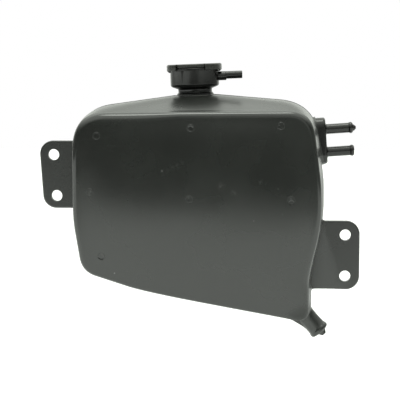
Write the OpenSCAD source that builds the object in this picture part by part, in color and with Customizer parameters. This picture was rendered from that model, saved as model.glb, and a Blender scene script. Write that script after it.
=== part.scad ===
// Coolant expansion tank with a pressure cap, in millimetres.
// X runs to the right, Z up, and the front face looks towards -Y.
// The origin is the centre of the right bracket's two bolt holes, on the rear face that bolts down.

/* [Tank body] */
// Width of the tank at its parting line
body_width = 263.5; // [255:0.5:290]
// Depth of the tank, front face to rear face
body_depth = 150; // [120:1:180]
// Wall of the blown tank
wall = 3.8; // [3:0.1:5]
// How far each side grows from the face edge to the parting line
side_draft = 3.9; // [2:0.1:8]
// Radius of the edge round the front and rear faces
edge_radius = 7; // [5:0.5:12]
// How far the front and rear faces bulge in their middle
face_bulge = 2.4; // [0.5:0.1:5]
// From the right bolt holes to the right side of the tank
side_reach = 23.8; // [20:0.5:40]
// Height of the parting line at the top left corner
top_left = 156.5; // [140:1:180]
// How far the roof's crown is drawn over the foot of the neck that stands on it
crown_rise = 1.7; // [-2:0.1:6]
// From the left side to the crown
crown_place = 126; // [110:1:150]
// Height of the parting line at the top right corner
top_right = 163.9; // [150:1:180]
// Height of the face edge along the top
face_top = 157; // [145:1:175]
// How far the face edge rises from left to right
face_top_rise = 2.3; // [0:0.1:6]
// How far the right shoulder leans in at the top
shoulder_lean = 9.9; // [4:0.5:20]
// Height where the right shoulder begins to lean in
shoulder_height = 78; // [65:1:95]
// Depth of the bay beside the right bracket
bay_depth = 12.1; // [6:0.5:18]
// Height where the bay begins
bay_top = 37; // [30:1:50]
// Height where the bay reaches its depth
bay_floor = -12; // [-25:1:0]
// Height of the parting line at the bottom right corner
base_right = -64.2; // [-70:0.1:-60]
// Height of the parting line at the bottom left corner
base_left = -13; // [-30:1:-5]
// How far the bottom left corner is set in from the left side
heel_inset = 9; // [4:0.5:20]
// Height where the left side begins to lean in
knee_height = 45; // [35:1:60]
// How far the bottom bows outwards
base_bow = 6.7; // [1:0.1:10]
// Where along the bottom, from the left corner, that bow is
bow_share = 0.28; // [0.2:0.01:0.5]

/* [Tank corners] */
// Run of the top left corner's curve at the face
top_left_run = 73; // [40:1:90]
// Run of the top right corner's curve at the face
top_right_run = 52; // [40:1:90]
// How much longer the top right curve runs at the parting line
top_right_extra = 24; // [0:1:40]
// Run of the bottom left corner's curve
base_left_run = 29.5; // [20:1:60]
// Run of the bottom right corner's curve
base_right_run = 30; // [20:1:40]
// Height of the moulding seam
seam_rise = 0.5; // [0.2:0.1:1]
// Width of the moulding seam
seam_width = 1.6; // [1:0.1:3]

/* [Brackets] */
// Thickness of both brackets
tab_thick = 6; // [4:0.5:8]
// Height of the right bracket
right_tab_height = 74.4; // [65:1:90]
// From the right bolt holes to the bracket's outer edge
right_tab_reach = 15.4; // [14:0.1:20]
// Spacing of the bolt holes in each bracket
bolt_spacing = 44.6; // [35:0.5:50]
// Diameter of the bolt holes
bolt_hole = 12; // [8:0.5:13]
// From the right bolt holes to the middle of the left pair, across
left_pair_across = 313.3; // [305:1:340]
// From the right bolt holes to the middle of the left pair, up
left_pair_up = 85.2; // [70:1:100]
// Lean of the left pair and of the edge beside it
left_lean = 3.8; // [0:0.1:8]
// Height of the left bracket
left_tab_height = 73.2; // [65:1:90]
// From the left pair to the bracket's outer edge
left_tab_reach = 15; // [14:0.1:20]
// Corner radius of both brackets
tab_corner = 14.5; // [8:0.5:16]
// Radius of the fillets where the brackets leave the tank
tab_fillet = 4; // [2:0.5:8]

/* [Outlet spigot] */
// Outer diameter of the outlet tube
spigot_diameter = 20.2; // [16:0.1:24]
// Bore of the outlet
spigot_bore = 14.5; // [10:0.1:16]
// Slope of the outlet below the horizontal
spigot_slope = 47.6; // [35:0.5:60]
// Across, from the right bolt holes to the end of the outlet
spigot_end_across = 25.5; // [20:0.5:30]
// Down, from the right bolt holes to the end of the outlet
spigot_end_drop = 83.6; // [80:0.1:92]
// Free length of the outlet tube
spigot_length = 32; // [26:1:40]
// How far the bead stands out of the outlet tube
spigot_bead = 0.9; // [0.4:0.1:2]
// How far the lug on the end of the outlet stands out
spigot_lug = 3.8; // [1:0.1:5]

/* [Filler neck] */
// Diameter of the hole in the tank's roof under the neck, wider than the neck's own bore
roof_hole_diameter = 34; // [29:0.5:35]
// Across, from the right bolt holes to the neck's foot
neck_across = 161.4; // [140:1:180]
// Up, from the right bolt holes to the neck's foot
neck_up = 172.6; // [170:0.1:200]
// Lean of the neck to the left
neck_lean = 2.3; // [0:0.1:6]
// Diameter of the neck's barrel
barrel_diameter = 52; // [50:0.5:56]
// Diameter of the mouth
mouth_diameter = 44; // [42:0.5:45]
// Diameter of the narrow lower neck
waist_diameter = 36.2; // [34:0.2:42]
// Bore of the narrow lower neck
throat_diameter = 29; // [24:0.5:30]
// Height of the waist under the barrel
waist_height = 6; // [4:0.5:12]
// Height of the mouth's rim over the foot
neck_height = 28; // [27:0.5:32]
// Depth of the valve seat below the rim
seat_depth = 17.4; // [17:0.1:18]
// Diameter of the cam flange
flange_diameter = 55.2; // [54:0.1:58]
// Thickness of the cam flange
flange_thick = 2.4; // [2:0.1:3]
// Diameter of the foot
foot_diameter = 39.2; // [37:0.2:46]
// Thickness of the foot
foot_thick = 1.6; // [1.2:0.1:3]

/* [Overflow nipple] */
// Outer diameter of the overflow nipple
nipple_diameter = 8.1; // [6:0.1:10]
// Bore of the overflow nipple
nipple_bore = 5.2; // [3:0.1:6]
// From the neck's axis to the end of the nipple
nipple_reach = 51; // [45:0.5:60]
// Diameter of the nipple's thick root
nipple_root = 9.6; // [8.8:0.1:11]
// Length of the thick root past the barrel
nipple_root_length = 8; // [4:0.5:12]

/* [Vent manifold] */
// Height of the manifold's middle
vent_up = 123.6; // [118:0.1:128]
// Across, from the right bolt holes to the manifold's end face
vent_across = 21.2; // [19:0.2:24]
// Tilt of the manifold, barbs up
vent_tilt = 4; // [0:0.5:8]
// Slope of the seat that it is welded to
vent_seat_slope = 12; // [8:0.5:16]
// Length of the manifold's oval
vent_length = 49.6; // [44:0.1:54]
// Width of the manifold's oval
vent_width = 20; // [17:0.5:24]
// Spacing of the two barbs
barb_spacing = 24.3; // [20:0.1:28]
// Outer diameter of the barbs' tubes
barb_diameter = 10.6; // [8:0.1:13]
// Bore of the barbs
barb_bore = 7; // [4:0.1:8]
// Length of the barbs
barb_length = 28.8; // [24:0.2:36]
// How far the barbs' beads stand out
barb_bead = 0.7; // [0.4:0.1:1.5]

/* [Pressure cap] */
// Radius over the cap's ears
ear_radius = 29.4; // [29:0.1:31]
// Sheet thickness of the cap
cap_sheet = 1.1; // [0.8:0.1:1.4]
// Height of the cap over the neck's rim
cap_height = 4.4; // [4:0.1:6]
// Depth of the ears, from the cap's top
ear_depth = 8.6; // [8.4:0.1:10]
// Depth of the skirt between the ears
skirt_depth = 3.6; // [3:0.1:4]
// Half the angle that an ear covers
ear_spread = 57; // [45:1:65]
// Half the angle that a tang covers
tang_spread = 16; // [10:1:20]
// How far a tang reaches in under the flange
tang_reach = 3; // [2.8:0.1:3.1]
// How far the cap is turned about its axis at rest, right ear forwards
ear_turn = 6; // [0:1:15]

/* [Cap valves] */
// Outer radius of the spring bell
bell_radius = 13.2; // [12:0.1:14]
// Depth of the spring bell
bell_depth = 11; // [9:0.5:12]
// Wire of the pressure spring
spring_wire = 1.8; // [1.2:0.1:2]
// Coils of the pressure spring
spring_turns = 4.5; // [3:0.5:6]
// Radius of the pressure plate
plate_radius = 17.8; // [17:0.1:18.5]
// Thickness of the valve gasket
valve_gasket_thick = 1.5; // [1:0.1:2]
// Radius of the vacuum valve's disc
vacuum_radius = 6.5; // [5:0.1:8]
// Radius of the vacuum valve's stem
stem_radius = 1.5; // [1.2:0.1:2]

/* [Hidden] */

// Round things are drawn with this many sides
round_fn = 72;
small_fn = 24;
// Gap between flat faces of pieces that move on each other
rest_gap = 0.2;
// Running gap of the stem and of the flange in the ears
running_gap = 0.08;
// Gap that lets the cover turn on the diaphragm and under the rivet's head
slip_gap = 0.05;
// Overlap of a cut past the surface that it opens
past = 1;
// Share of a bend's size by which the middle of its two chamfers is set in
cut_share = 0.3;

// Places of the body
parting_y = -tab_thick / 2;
right_x = -side_reach;
left_x = right_x - body_width;
half_depth = body_depth / 2;
// Height of the roof's crown
crown_top = neck_up + crown_rise;

// Brackets and pads
tab_corner_steps = 8;
// How far a bracket's straight root lies inside the tank's wall
tab_root = 1.6;
// How far the middle of each bracket lies over the middle of its holes
right_tab_rise = 0.4;
left_tab_rise = 0.8;
pad_depth = 9;
pad_flare = 1.2;
pad_radius = foot_diameter / 2 + pad_flare;
// Where the wall passes the manifold's middle, and the seat that stands on it
wall_at_vent = right_x - shoulder_lean * (vent_up - shoulder_height) / (top_right - shoulder_height);
vent_seat_rise = 0.9;
vent_seat_x = wall_at_vent + vent_seat_rise;

// Outlet
spigot_lip = 1.2;
// Length of the flat on the bead
spigot_land = 2.2;
spigot_swell = 5;
// Lugs on the ends of the outlet and of the upper barb: the angle that each covers, and where it starts
lug_angle = 46;
// How far the outlet's lug stands in from both edges of the end face
lug_inset = 0.3;
spigot_lug_start = 232;
barb_lug_start = 247;
barb_lug = 3;

// Neck
rim = neck_height;
rim_round = 0.6;
neck_cone = 2.4;
barrel_base = waist_height + neck_cone;
barrel_round = 3.4;
foot_round = 0.8;
seat_bead = 0.5;
seat_bead_inset = 1.8;
seat_bead_radius = throat_diameter / 2 + seat_bead_inset;
nipple_chamfer = 0.5;
// The nipple and its root pass under the cap's tangs, the root's top just over the tube's
tang_base = neck_height + cap_height - ear_depth;
nipple_clear = 0.4;
root_clear = 0.3;
nipple_z = tang_base - nipple_clear - nipple_diameter / 2;
root_z = tang_base - root_clear - nipple_root / 2;
// Cams: the notch that a tang drops through, the ramp's steps and rise, and the stop at its end
notch_gap = 3;
notch_bite = 0.2;
cam_gap = 2;
ramp_steps = 3;
ramp_rise = 0.4;
stop_gap = 1.5;
stop_drop = 1.6;
stop_width = 5;
// Each step of a cam stands this much inside the one before it
cam_setback = 0.15;

// Barbs
barb_root = 1.2;
// Length of the flat on a bead, and of the tip before it
barb_land = 1.4;
barb_tip = 1.6;

// Cap, as heights over the neck's foot
cap_top = rim + cap_height;
gasket_thick = 1;
diaphragm_thick = 0.4;
gasket_base = rim + rest_gap;
diaphragm_base = gasket_base + gasket_thick;
dish_base = diaphragm_base + diaphragm_thick + slip_gap;
dish_radius = 9;
cap_bend = 1.8;
skirt_inset = 0.4;
skirt_radius = flange_diameter / 2 - skirt_inset;
ear_wall = 6.6;
tang_slope = 2.2;
rivet_radius = 2.4;
rivet_head = 4.2;
rivet_dome = 1.2;

// Valves, as heights over the neck's foot
bell_sheet = 0.8;
bell_top = diaphragm_base;
bell_base = bell_top - bell_depth;
bell_flange = 1.4;
gasket_foot = rim - seat_depth + seat_bead + rest_gap;
plate_base = gasket_foot + valve_gasket_thick;
plate_thick = 1;
plate_top = plate_base + plate_thick;
// Gap between the plate's lip and the bell's flange at rest
lip_gap = 0.8;
lip_clear = 0.4;
hub_radius = 3.4;
hub_height = 1.8;
hub_top = plate_top + hub_height;
vent_hole = 1.1;
vent_circle = 4.8;
disc_thick = 1.4;
// The vacuum valve drops by this much, and its spring keeps some spare length then
vacuum_drop = 2;
spring_spare = 0.8;
retainer_thick = 0.7;
retainer_radius = 3.6;
stem_head = 0.6;
vacuum_wire = 0.45;
vacuum_turns = 4;
retainer_base = hub_top + vacuum_drop + vacuum_turns * vacuum_wire + spring_spare;
dead_turns = 0.5;
spring_gap = 0.05;
// Gap between the pressure spring and the bell's wall
spring_side_gap = 0.24;
// Sides of each spring's wire, and steps in a turn
spring_sides = 8;
spring_steps = 16;
vacuum_sides = 6;
vacuum_steps = 12;
gasket_inset = 2;
gasket_outer = flange_diameter / 2 - gasket_inset;
bell_windows = 4;
window_angle = 40;
vent_holes = 4;

// Steps along the outline at its large and small corners and at its bends
corner_steps = 10;
small_corner_steps = 7;
long_bend_steps = 5;
bend_steps = 4;
// Rings round the face's edge and down the side, and where rings lie on the face
edge_steps = 5;
side_steps = 6;
face_shares = [0.3, 0.6, 0.85];
// The inside needs half the detail of the outside
inside_detail = 0.5;

function unit(v) = v / norm(v);
function mix(a, b, t) = a + (b - a) * t;
function xz(p) = [p[0], p[1]];

// Corners of a section, anticlockwise from the bottom left, each [x, z, run of its curve, steps].
// grow is 0 at the face edge and 1 at the parting line.
function section_corners(grow) = let(
    in = side_draft * (1 - grow),
    x_left = left_x + in,
    x_right = right_x - in,
    x_bay = right_x - bay_depth - in,
    heel = [x_left + heel_inset, base_left + in],
    toe = [x_bay, base_right + in],
    bow = mix(heel, toe, bow_share),
    crown_x = left_x + crown_place,
    face_left = face_top - face_top_rise / 2,
    face_right = face_top + face_top_rise / 2
) [
    [heel[0], heel[1], base_left_run, small_corner_steps],
    [bow[0], bow[1] - base_bow, 0, long_bend_steps],
    [toe[0], toe[1], base_right_run, small_corner_steps],
    [x_bay, bay_floor, 0, bend_steps],
    [x_right, bay_top, 0, bend_steps],
    [x_right, shoulder_height, 0, bend_steps],
    [x_right - shoulder_lean, mix(face_right, top_right, grow),
        top_right_run + top_right_extra * grow, corner_steps],
    [crown_x, mix(face_top, crown_top, grow), 0, long_bend_steps],
    [x_left, mix(face_left, top_left, grow), top_left_run, corner_steps],
    [x_left, knee_height, 0, bend_steps]
];

// Control points of the outline, each [x, z, steps]: a corner is given one on either side of it
function controls(corners, detail) = let(n = len(corners)) [for (i = [0:n - 1]) let(
    p = xz(corners[i]),
    before = xz(corners[(i + n - 1) % n]),
    after = xz(corners[(i + 1) % n]),
    run = corners[i][2],
    steps = ceil(corners[i][3] * detail)
) each run == 0 ? [[p[0], p[1], steps]] : let(
    a = p + unit(before - p) * run,
    b = p + unit(after - p) * run
) [[a[0], a[1], 1], [p[0], p[1], steps], [b[0], b[1], 1]]];

// A smooth closed curve that touches the middle of each line between control points
function smooth_outline(c) = let(n = len(c)) [for (i = [0:n - 1]) let(
    p = xz(c[i]),
    a = (p + xz(c[(i + n - 1) % n])) / 2,
    b = (p + xz(c[(i + 1) % n])) / 2
) for (k = [0:c[i][2] - 1]) let(t = k / c[i][2]) a * (1 - t) ^ 2 + p * 2 * t * (1 - t) + b * t ^ 2];

// The outline moved inwards along its own normals
function inset(outline, by) = let(n = len(outline)) [for (i = [0:n - 1]) let(
    along = unit(outline[(i + 1) % n] - outline[(i + n - 1) % n])
) outline[i] + by * [-along[1], along[0]]];

function section(grow, by, detail) = inset(smooth_outline(controls(section_corners(grow), detail)), by);
function place_ring(outline, y) = [for (p = outline) [p[0], y, p[1]]];
function centre_of(outline) = [for (k = [0:1]) let(v = [for (p = outline) p[k]]) (max(v) + min(v)) / 2];

// Rings of the front half, from the middle of the face to the seam: each is [distance from the parting
// plane, growth, inset, share of the way from the face's middle]
function half_rings(skin, detail) = let(
    depth = half_depth - skin,
    r = max(edge_radius - skin, wall / 2),
    flat = depth - r,
    seam = seam_width / 2,
    edges = ceil(edge_steps * detail),
    sides = ceil(side_steps * detail)
) concat(
    [for (s = face_shares) [depth + face_bulge * (1 - s ^ 2), 0, skin + r, s]],
    [for (k = [0:edges]) let(a = 90 * k / edges) [flat + r * cos(a), 0, skin + r * (1 - sin(a)), 1]],
    [for (k = [1:sides]) let(d = mix(flat, seam, k / sides)) [d, 1 - (d / flat) ^ 2, skin, 1]]
);

// One closed ring of the tank: side is -1 on the front half and 1 on the rear half
function tank_ring(spec, side, detail) = let(
    outline = section(spec[1], spec[2], detail),
    middle = centre_of(outline)
) place_ring([for (p = outline) mix(middle, p, spec[3])], parting_y + side * spec[0]);

// A solid skinned over rings of equal length. Its ends are flat, or fans that rise to the two tips
module skinned(rings, tips = []) {
    n = len(rings[0]);
    m = len(rings);
    tip = n * m;
    last = (m - 1) * n;
    polyhedron(
        points = concat([for (ring = rings) each ring], tips),
        faces = concat(
            [for (i = [0:m - 2], k = [0:n - 1]) each let(
                a = i * n + k,
                b = i * n + (k + 1) % n
            ) [[a, b, a + n], [b, b + n, a + n]]],
            len(tips) == 0 ? [[for (k = [n - 1:-1:0]) k], [for (k = [0:n - 1]) last + k]] : concat(
                [for (k = [0:n - 1]) [(k + 1) % n, k, tip]],
                [for (k = [0:n - 1]) [last + k, last + (k + 1) % n, tip + 1]]
            )
        )
    );
}

// The tank's form with its walls moved in by skin: the outside carries the seam round its parting line
module tank_form(skin, detail) {
    half = half_rings(skin, detail);
    m = len(half);
    middle = centre_of(section(0, skin, detail));
    tip = half_depth - skin + face_bulge;
    ridge = [seam_width / 4, 1, skin - seam_rise, 1];
    skinned(
        concat(
            [for (i = [0:m - 1]) tank_ring(half[i], -1, detail)],
            skin == 0 ? [tank_ring(ridge, -1, detail), tank_ring(ridge, 1, detail)] : [],
            [for (i = [m - 1:-1:0]) tank_ring(half[i], 1, detail)]
        ),
        [[middle[0], parting_y - tip, middle[1]], [middle[0], parting_y + tip, middle[1]]]
    );
}

// Points of an outline whose corners, given as [x, z, radius], are rounded by arcs
function rounded(corners, steps) = let(n = len(corners)) [for (i = [0:n - 1]) let(
    p = xz(corners[i]),
    a = unit(xz(corners[(i + n - 1) % n]) - p),
    b = unit(xz(corners[(i + 1) % n]) - p),
    r = corners[i][2],
    half = acos(a * b) / 2,
    c = p + unit(a + b) * r / sin(half)
) each r == 0 ? [p] : let(s = p + a * r / tan(half) - c, e = p + b * r / tan(half) - c)
    [for (k = [0:steps]) c + r * unit(mix(s, e, k / steps))]];

// A flat plate with rounded corners, its rear face on y = 0
module bracket_plate(corners) {
    rotate([90, 0, 0]) linear_extrude(tab_thick) polygon(rounded(corners, tab_corner_steps));
}

module right_tab() {
    low = right_tab_rise - right_tab_height / 2;
    high = right_tab_rise + right_tab_height / 2;
    wall_low = right_x - bay_depth - tab_root;
    wall_high = mix(right_x, right_x - bay_depth, (bay_top - high) / (bay_top - bay_floor)) - tab_root;
    inside = wall_low - wall;
    bracket_plate([
        [inside, low - 2 * tab_fillet, 0],
        [wall_low, low - 2 * tab_fillet, 0],
        [wall_low, low, tab_fillet],
        [right_tab_reach, low, tab_corner],
        [right_tab_reach, high, tab_corner],
        [wall_high, high, tab_fillet],
        [wall_high, high + 2 * tab_fillet, 0],
        [inside, high + 2 * tab_fillet, 0]
    ]);
}

module left_tab() {
    low = left_pair_up + left_tab_rise - left_tab_height / 2;
    high = left_pair_up + left_tab_rise + left_tab_height / 2;
    edge = -left_pair_across - left_tab_reach;
    lean = tan(left_lean) * left_tab_height / 2;
    root = left_x + tab_root;
    inside = root + wall;
    bracket_plate([
        [edge + lean, low, tab_corner],
        [root, low, tab_fillet],
        [root, low - 2 * tab_fillet, 0],
        [inside, low - 2 * tab_fillet, 0],
        [inside, high + 2 * tab_fillet, 0],
        [root, high + 2 * tab_fillet, 0],
        [root, high, tab_fillet],
        [edge - lean, high, tab_corner]
    ]);
}

module bolt_hole_pair() {
    for (side = [-1, 1]) translate([0, past, side * bolt_spacing / 2]) rotate([90, 0, 0])
        cylinder(d = bolt_hole, h = tab_thick + 2 * past, $fn = round_fn);
}

module bolt_holes() {
    bolt_hole_pair();
    translate([-left_pair_across, 0, left_pair_up]) rotate([0, -left_lean, 0]) bolt_hole_pair();
}

// Puts its children in the frame of the neck: its foot on z = 0 and its axis along Z
module at_neck() {
    translate([-neck_across, parting_y, neck_up]) rotate([0, -neck_lean, 0]) children();
}

// Puts its children in the frame of the outlet: the tube's end on z = 0, the tube below it
module at_spigot() {
    translate([-spigot_end_across, parting_y, -spigot_end_drop]) rotate([0, 90 + spigot_slope, 0]) children();
}

// Puts its children in the frame of the manifold: its end face on z = 0, the barbs above it, X down
module at_manifold() {
    translate([-vent_across, parting_y, vent_up]) rotate([0, 90 - vent_tilt, 0]) children();
}

// Puts its children on the sloping seat that the manifold is welded to, Z pointing out of the tank
module at_vent_seat() {
    translate([vent_seat_x, parting_y, vent_up]) rotate([0, 90 - vent_seat_slope, 0]) children();
}

module oval(length, width) {
    for (side = [-1, 1]) translate([side * (length - width) / 2, 0]) circle(d = width, $fn = round_fn);
    square([length - width, width], center = true);
}

module neck_pad() {
    at_neck() translate([0, 0, -pad_depth]) rotate_extrude($fn = round_fn) polygon([
        [0, 0],
        [pad_radius + pad_flare, 0],
        [pad_radius + pad_flare, pad_depth - 2 * pad_flare],
        [pad_radius, pad_depth - pad_flare / 2],
        [pad_radius - pad_flare / 2, pad_depth],
        [0, pad_depth]
    ]);
}

module vent_pad() {
    at_vent_seat() translate([0, 0, -pad_depth]) linear_extrude(pad_depth)
        oval(vent_length + 2 * pad_flare, vent_width + 2 * pad_flare);
}

// The outlet tube with its end bead, and the swelling where it leaves the tank's corner
module spigot_tube() {
    r = spigot_diameter / 2;
    b = r + spigot_bead;
    at_spigot() mirror([0, 0, 1]) rotate_extrude($fn = round_fn) polygon([
        [0, 0],
        [r - spigot_lip, 0],
        [b - spigot_lip / 4, spigot_lip],
        [b, 2 * spigot_lip],
        [b, 2 * spigot_lip + spigot_land],
        [r, 3 * spigot_lip + spigot_land],
        [r, spigot_length - spigot_swell],
        [r + spigot_swell / 3, spigot_length - spigot_swell / 4],
        [r + spigot_swell, spigot_length + spigot_swell],
        [0, spigot_length + spigot_swell]
    ]);
    at_spigot() rotate([0, 0, spigot_lug_start])
        ring_sector(spigot_bore / 2 + lug_inset, r - spigot_lip - lug_inset, -past, spigot_lug, lug_angle);
}

module spigot_channel() {
    at_spigot() translate([0, 0, -spigot_length - spigot_swell - 2 * wall])
        cylinder(d = spigot_bore, h = spigot_length + spigot_swell + 2 * wall + past, $fn = round_fn);
}

module vent_ports(depth) {
    at_manifold() for (side = [-1, 1]) translate([side * barb_spacing / 2, 0, -depth])
        cylinder(d = barb_bore, h = depth + barb_length + past, $fn = round_fn);
}

// Blow-moulded tank, one piece with its brackets, outlet and pads
module tank_body() {
    color([0.16, 0.17, 0.16]) difference() {
        union() {
            tank_form(0, 1);
            right_tab();
            left_tab();
            neck_pad();
            vent_pad();
            spigot_tube();
        }
        tank_form(wall, inside_detail);
        bolt_holes();
        at_neck() translate([0, 0, -pad_depth - past])
            cylinder(d = roof_hole_diameter, h = pad_depth + 2 * past, $fn = round_fn);
        vent_ports(vent_across);
        spigot_channel();
    }
}

// Cam under half of the flange: steps that thicken towards the stop, then the stop
module cam() {
    first = tang_spread + notch_gap + cam_gap;
    last = 90 + tang_spread + stop_gap;
    for (k = [1:ramp_steps]) let(start = mix(first, last, (k - 1) / ramp_steps))
        cam_step(k, start, last + stop_width * k / (ramp_steps + 2) - start, ramp_rise * k / ramp_steps);
    cam_step(ramp_steps + 1, last, stop_width, stop_drop);
}

module cam_step(k, start, angle, drop) {
    rotate([0, 0, start]) ring_sector(barrel_diameter / 2 - past + cam_setback * k,
        flange_diameter / 2 - cam_setback * k, rim - flange_thick - drop,
        rim - flange_thick + past - cam_setback * k, angle);
}

// A sector of a ring: from its first face it covers angle degrees, anticlockwise
module ring_sector(inner, outer, low, high, angle) {
    translate([0, 0, low]) rotate_extrude(angle = angle, $fn = round_fn)
        translate([inner, 0]) square([outer - inner, high - low]);
}

// Neck with its mouth, cam flange, valve seat and overflow nipple
module filler_neck() {
    barrel = barrel_diameter / 2;
    waist = waist_diameter / 2;
    foot = foot_diameter / 2;
    flange = flange_diameter / 2;
    mouth = mouth_diameter / 2;
    throat = throat_diameter / 2;
    seat = rim - seat_depth;
    in_wall = (mouth + barrel) / 2;
    color([0.1, 0.1, 0.1]) at_neck() difference() {
        union() {
            rotate_extrude($fn = round_fn) polygon([
                [throat, 0],
                [foot, 0],
                [foot, foot_thick - foot_round],
                [foot - foot_round, foot_thick],
                [waist, foot_thick + foot_round],
                [waist, waist_height],
                [barrel - barrel_round, barrel_base],
                [barrel - barrel_round * cut_share, barrel_base + barrel_round * cut_share],
                [barrel, barrel_base + barrel_round],
                [barrel, rim - flange_thick],
                [flange, rim - flange_thick],
                [flange, rim - rim_round],
                [flange - rim_round, rim],
                [mouth + rim_round, rim],
                [mouth, rim - rim_round],
                [mouth, seat + 2 * rim_round],
                [mouth - rim_round, seat],
                [seat_bead_radius + seat_bead, seat],
                [seat_bead_radius + seat_bead / 2, seat + seat_bead],
                [seat_bead_radius - seat_bead / 2, seat + seat_bead],
                [seat_bead_radius - seat_bead, seat],
                [throat, seat]
            ]);
            for (side = [0, 180]) rotate([0, 0, side - ear_turn]) mirror([0, 1, 0]) cam();
            translate([in_wall, 0, root_z]) rotate([0, 90, 0])
                cylinder(d = nipple_root, h = barrel + nipple_root_length - in_wall, $fn = round_fn);
            translate([0, 0, nipple_z]) rotate([0, 90, 0]) rotate_extrude($fn = round_fn) polygon([
                [0, in_wall],
                [nipple_diameter / 2, in_wall],
                [nipple_diameter / 2, nipple_reach - nipple_chamfer],
                [nipple_diameter / 2 - nipple_chamfer, nipple_reach],
                [0, nipple_reach]
            ]);
        }
        translate([mouth - 2 * past, 0, nipple_z]) rotate([0, 90, 0])
            cylinder(d = nipple_bore, h = nipple_reach, $fn = round_fn);
        for (side = [0, 180]) rotate([0, 0, side - ear_turn - tang_spread - notch_gap])
            ring_sector(barrel - notch_bite, flange + past, rim - flange_thick - past, rim + past,
                2 * (tang_spread + notch_gap));
    }
}

// Oval boss with its two beaded barbs
module vent_manifold() {
    color([0.08, 0.08, 0.08]) difference() {
        union() {
            difference() {
                at_manifold() translate([0, 0, -2 * vent_across]) linear_extrude(2 * vent_across)
                    oval(vent_length, vent_width);
                at_vent_seat() translate([0, 0, -2 * vent_across])
                    cube([3 * vent_length, 3 * vent_width, 4 * vent_across], center = true);
            }
            at_manifold() for (side = [-1, 1]) translate([side * barb_spacing / 2, 0, 0]) barb();
            at_manifold() translate([-barb_spacing / 2, 0, barb_length]) rotate([0, 0, barb_lug_start])
                ring_sector(barb_bore / 2 - past, barb_diameter / 2 - barb_bead, -past, barb_lug, lug_angle);
        }
        vent_ports(3 * vent_across);
    }
}

// One hose barb with its root fillet and end bead, rising from z = 0
module barb() {
    r = barb_diameter / 2;
    rotate_extrude($fn = round_fn) polygon([
        [0, -past],
        [r + barb_root, -past],
        [r + barb_root, 0],
        [r + barb_root / 3, barb_root / 2],
        [r, 2 * barb_root],
        [r, barb_length - barb_tip - barb_land - 2 * barb_bead],
        [r + barb_bead, barb_length - barb_tip - barb_land],
        [r + barb_bead, barb_length - barb_tip],
        [r, barb_length - barb_bead],
        [r - barb_bead, barb_length],
        [0, barb_length]
    ]);
}

// Puts its children in the frame of the neck, turned as the cap is at rest
module at_cap() {
    at_neck() rotate([0, 0, -ear_turn]) children();
}

// Pressed cover with its skirt, two ears and their tangs
module cap_shell() {
    t = cap_sheet;
    color([0.11, 0.11, 0.11]) at_cap() {
        rotate_extrude($fn = round_fn) polygon([
            [rivet_radius + running_gap, dish_base],
            [dish_radius, dish_base],
            [dish_radius + t, cap_top - t],
            [skirt_radius - cap_bend, cap_top - t],
            [skirt_radius - t, cap_top - cap_bend],
            [skirt_radius - t, cap_top - skirt_depth],
            [skirt_radius, cap_top - skirt_depth],
            [skirt_radius, cap_top - cap_bend],
            [skirt_radius - cap_bend * cut_share, cap_top - cap_bend * cut_share],
            [skirt_radius - cap_bend, cap_top],
            [dish_radius + t / 2, cap_top],
            [dish_radius - t / 2, dish_base + t],
            [rivet_radius + running_gap, dish_base + t]
        ]);
        for (side = [0, 180]) rotate([0, 0, side]) {
            rotate([0, 0, -ear_spread]) rotate_extrude(angle = 2 * ear_spread, $fn = round_fn) polygon([
                [skirt_radius - cap_bend, cap_top - t],
                [ear_radius - cap_bend, cap_top - t],
                [ear_radius - t, cap_top - cap_bend],
                [ear_radius - t, cap_top - ear_wall],
                [ear_radius, cap_top - ear_wall],
                [ear_radius, cap_top - cap_bend],
                [ear_radius - cap_bend * cut_share, cap_top - cap_bend * cut_share],
                [ear_radius - cap_bend, cap_top],
                [skirt_radius - cap_bend, cap_top]
            ]);
            rotate([0, 0, -tang_spread]) rotate_extrude(angle = 2 * tang_spread, $fn = round_fn) polygon([
                [ear_radius - t, cap_top - ear_wall + t],
                [ear_radius - t, cap_top - ear_depth + t],
                [ear_radius - tang_reach, cap_top - ear_depth + t],
                [ear_radius - tang_reach, cap_top - ear_depth],
                [ear_radius - tang_slope, cap_top - ear_depth],
                [ear_radius, cap_top - ear_depth + tang_slope],
                [ear_radius, cap_top - ear_wall + t]
            ]);
        }
    }
}

// Rivet that holds the cover, the diaphragm and the bell together
module cap_rivet() {
    head_base = dish_base + cap_sheet + slip_gap;
    tail_top = bell_top - bell_sheet;
    color([0.55, 0.55, 0.56]) at_neck() rotate_extrude($fn = round_fn) polygon([
        [0, tail_top - rivet_dome],
        [rivet_head - rivet_dome, tail_top - rivet_dome],
        [rivet_head, tail_top - rivet_dome / 3],
        [rivet_head, tail_top],
        [rivet_radius, tail_top],
        [rivet_radius, head_base],
        [rivet_head, head_base],
        [rivet_head, head_base + rivet_dome / 3],
        [rivet_head - rivet_dome, head_base + rivet_dome],
        [0, head_base + rivet_dome]
    ]);
}

// A flat ring with its lower face at z
module washer(inner, outer, z, thick) {
    translate([0, 0, z]) rotate_extrude($fn = round_fn)
        translate([inner, 0]) square([outer - inner, thick]);
}

// Springy disc that presses the gasket on the rim
module cap_diaphragm() {
    color([0.7, 0.7, 0.72]) at_neck()
        washer(rivet_radius + running_gap, gasket_outer, diaphragm_base, diaphragm_thick);
}

// Rubber ring on the rim of the mouth
module cap_gasket() {
    color([0.06, 0.06, 0.06]) at_neck()
        washer(mouth_diameter / 2 + rim_round, gasket_outer, gasket_base, gasket_thick);
}

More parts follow.
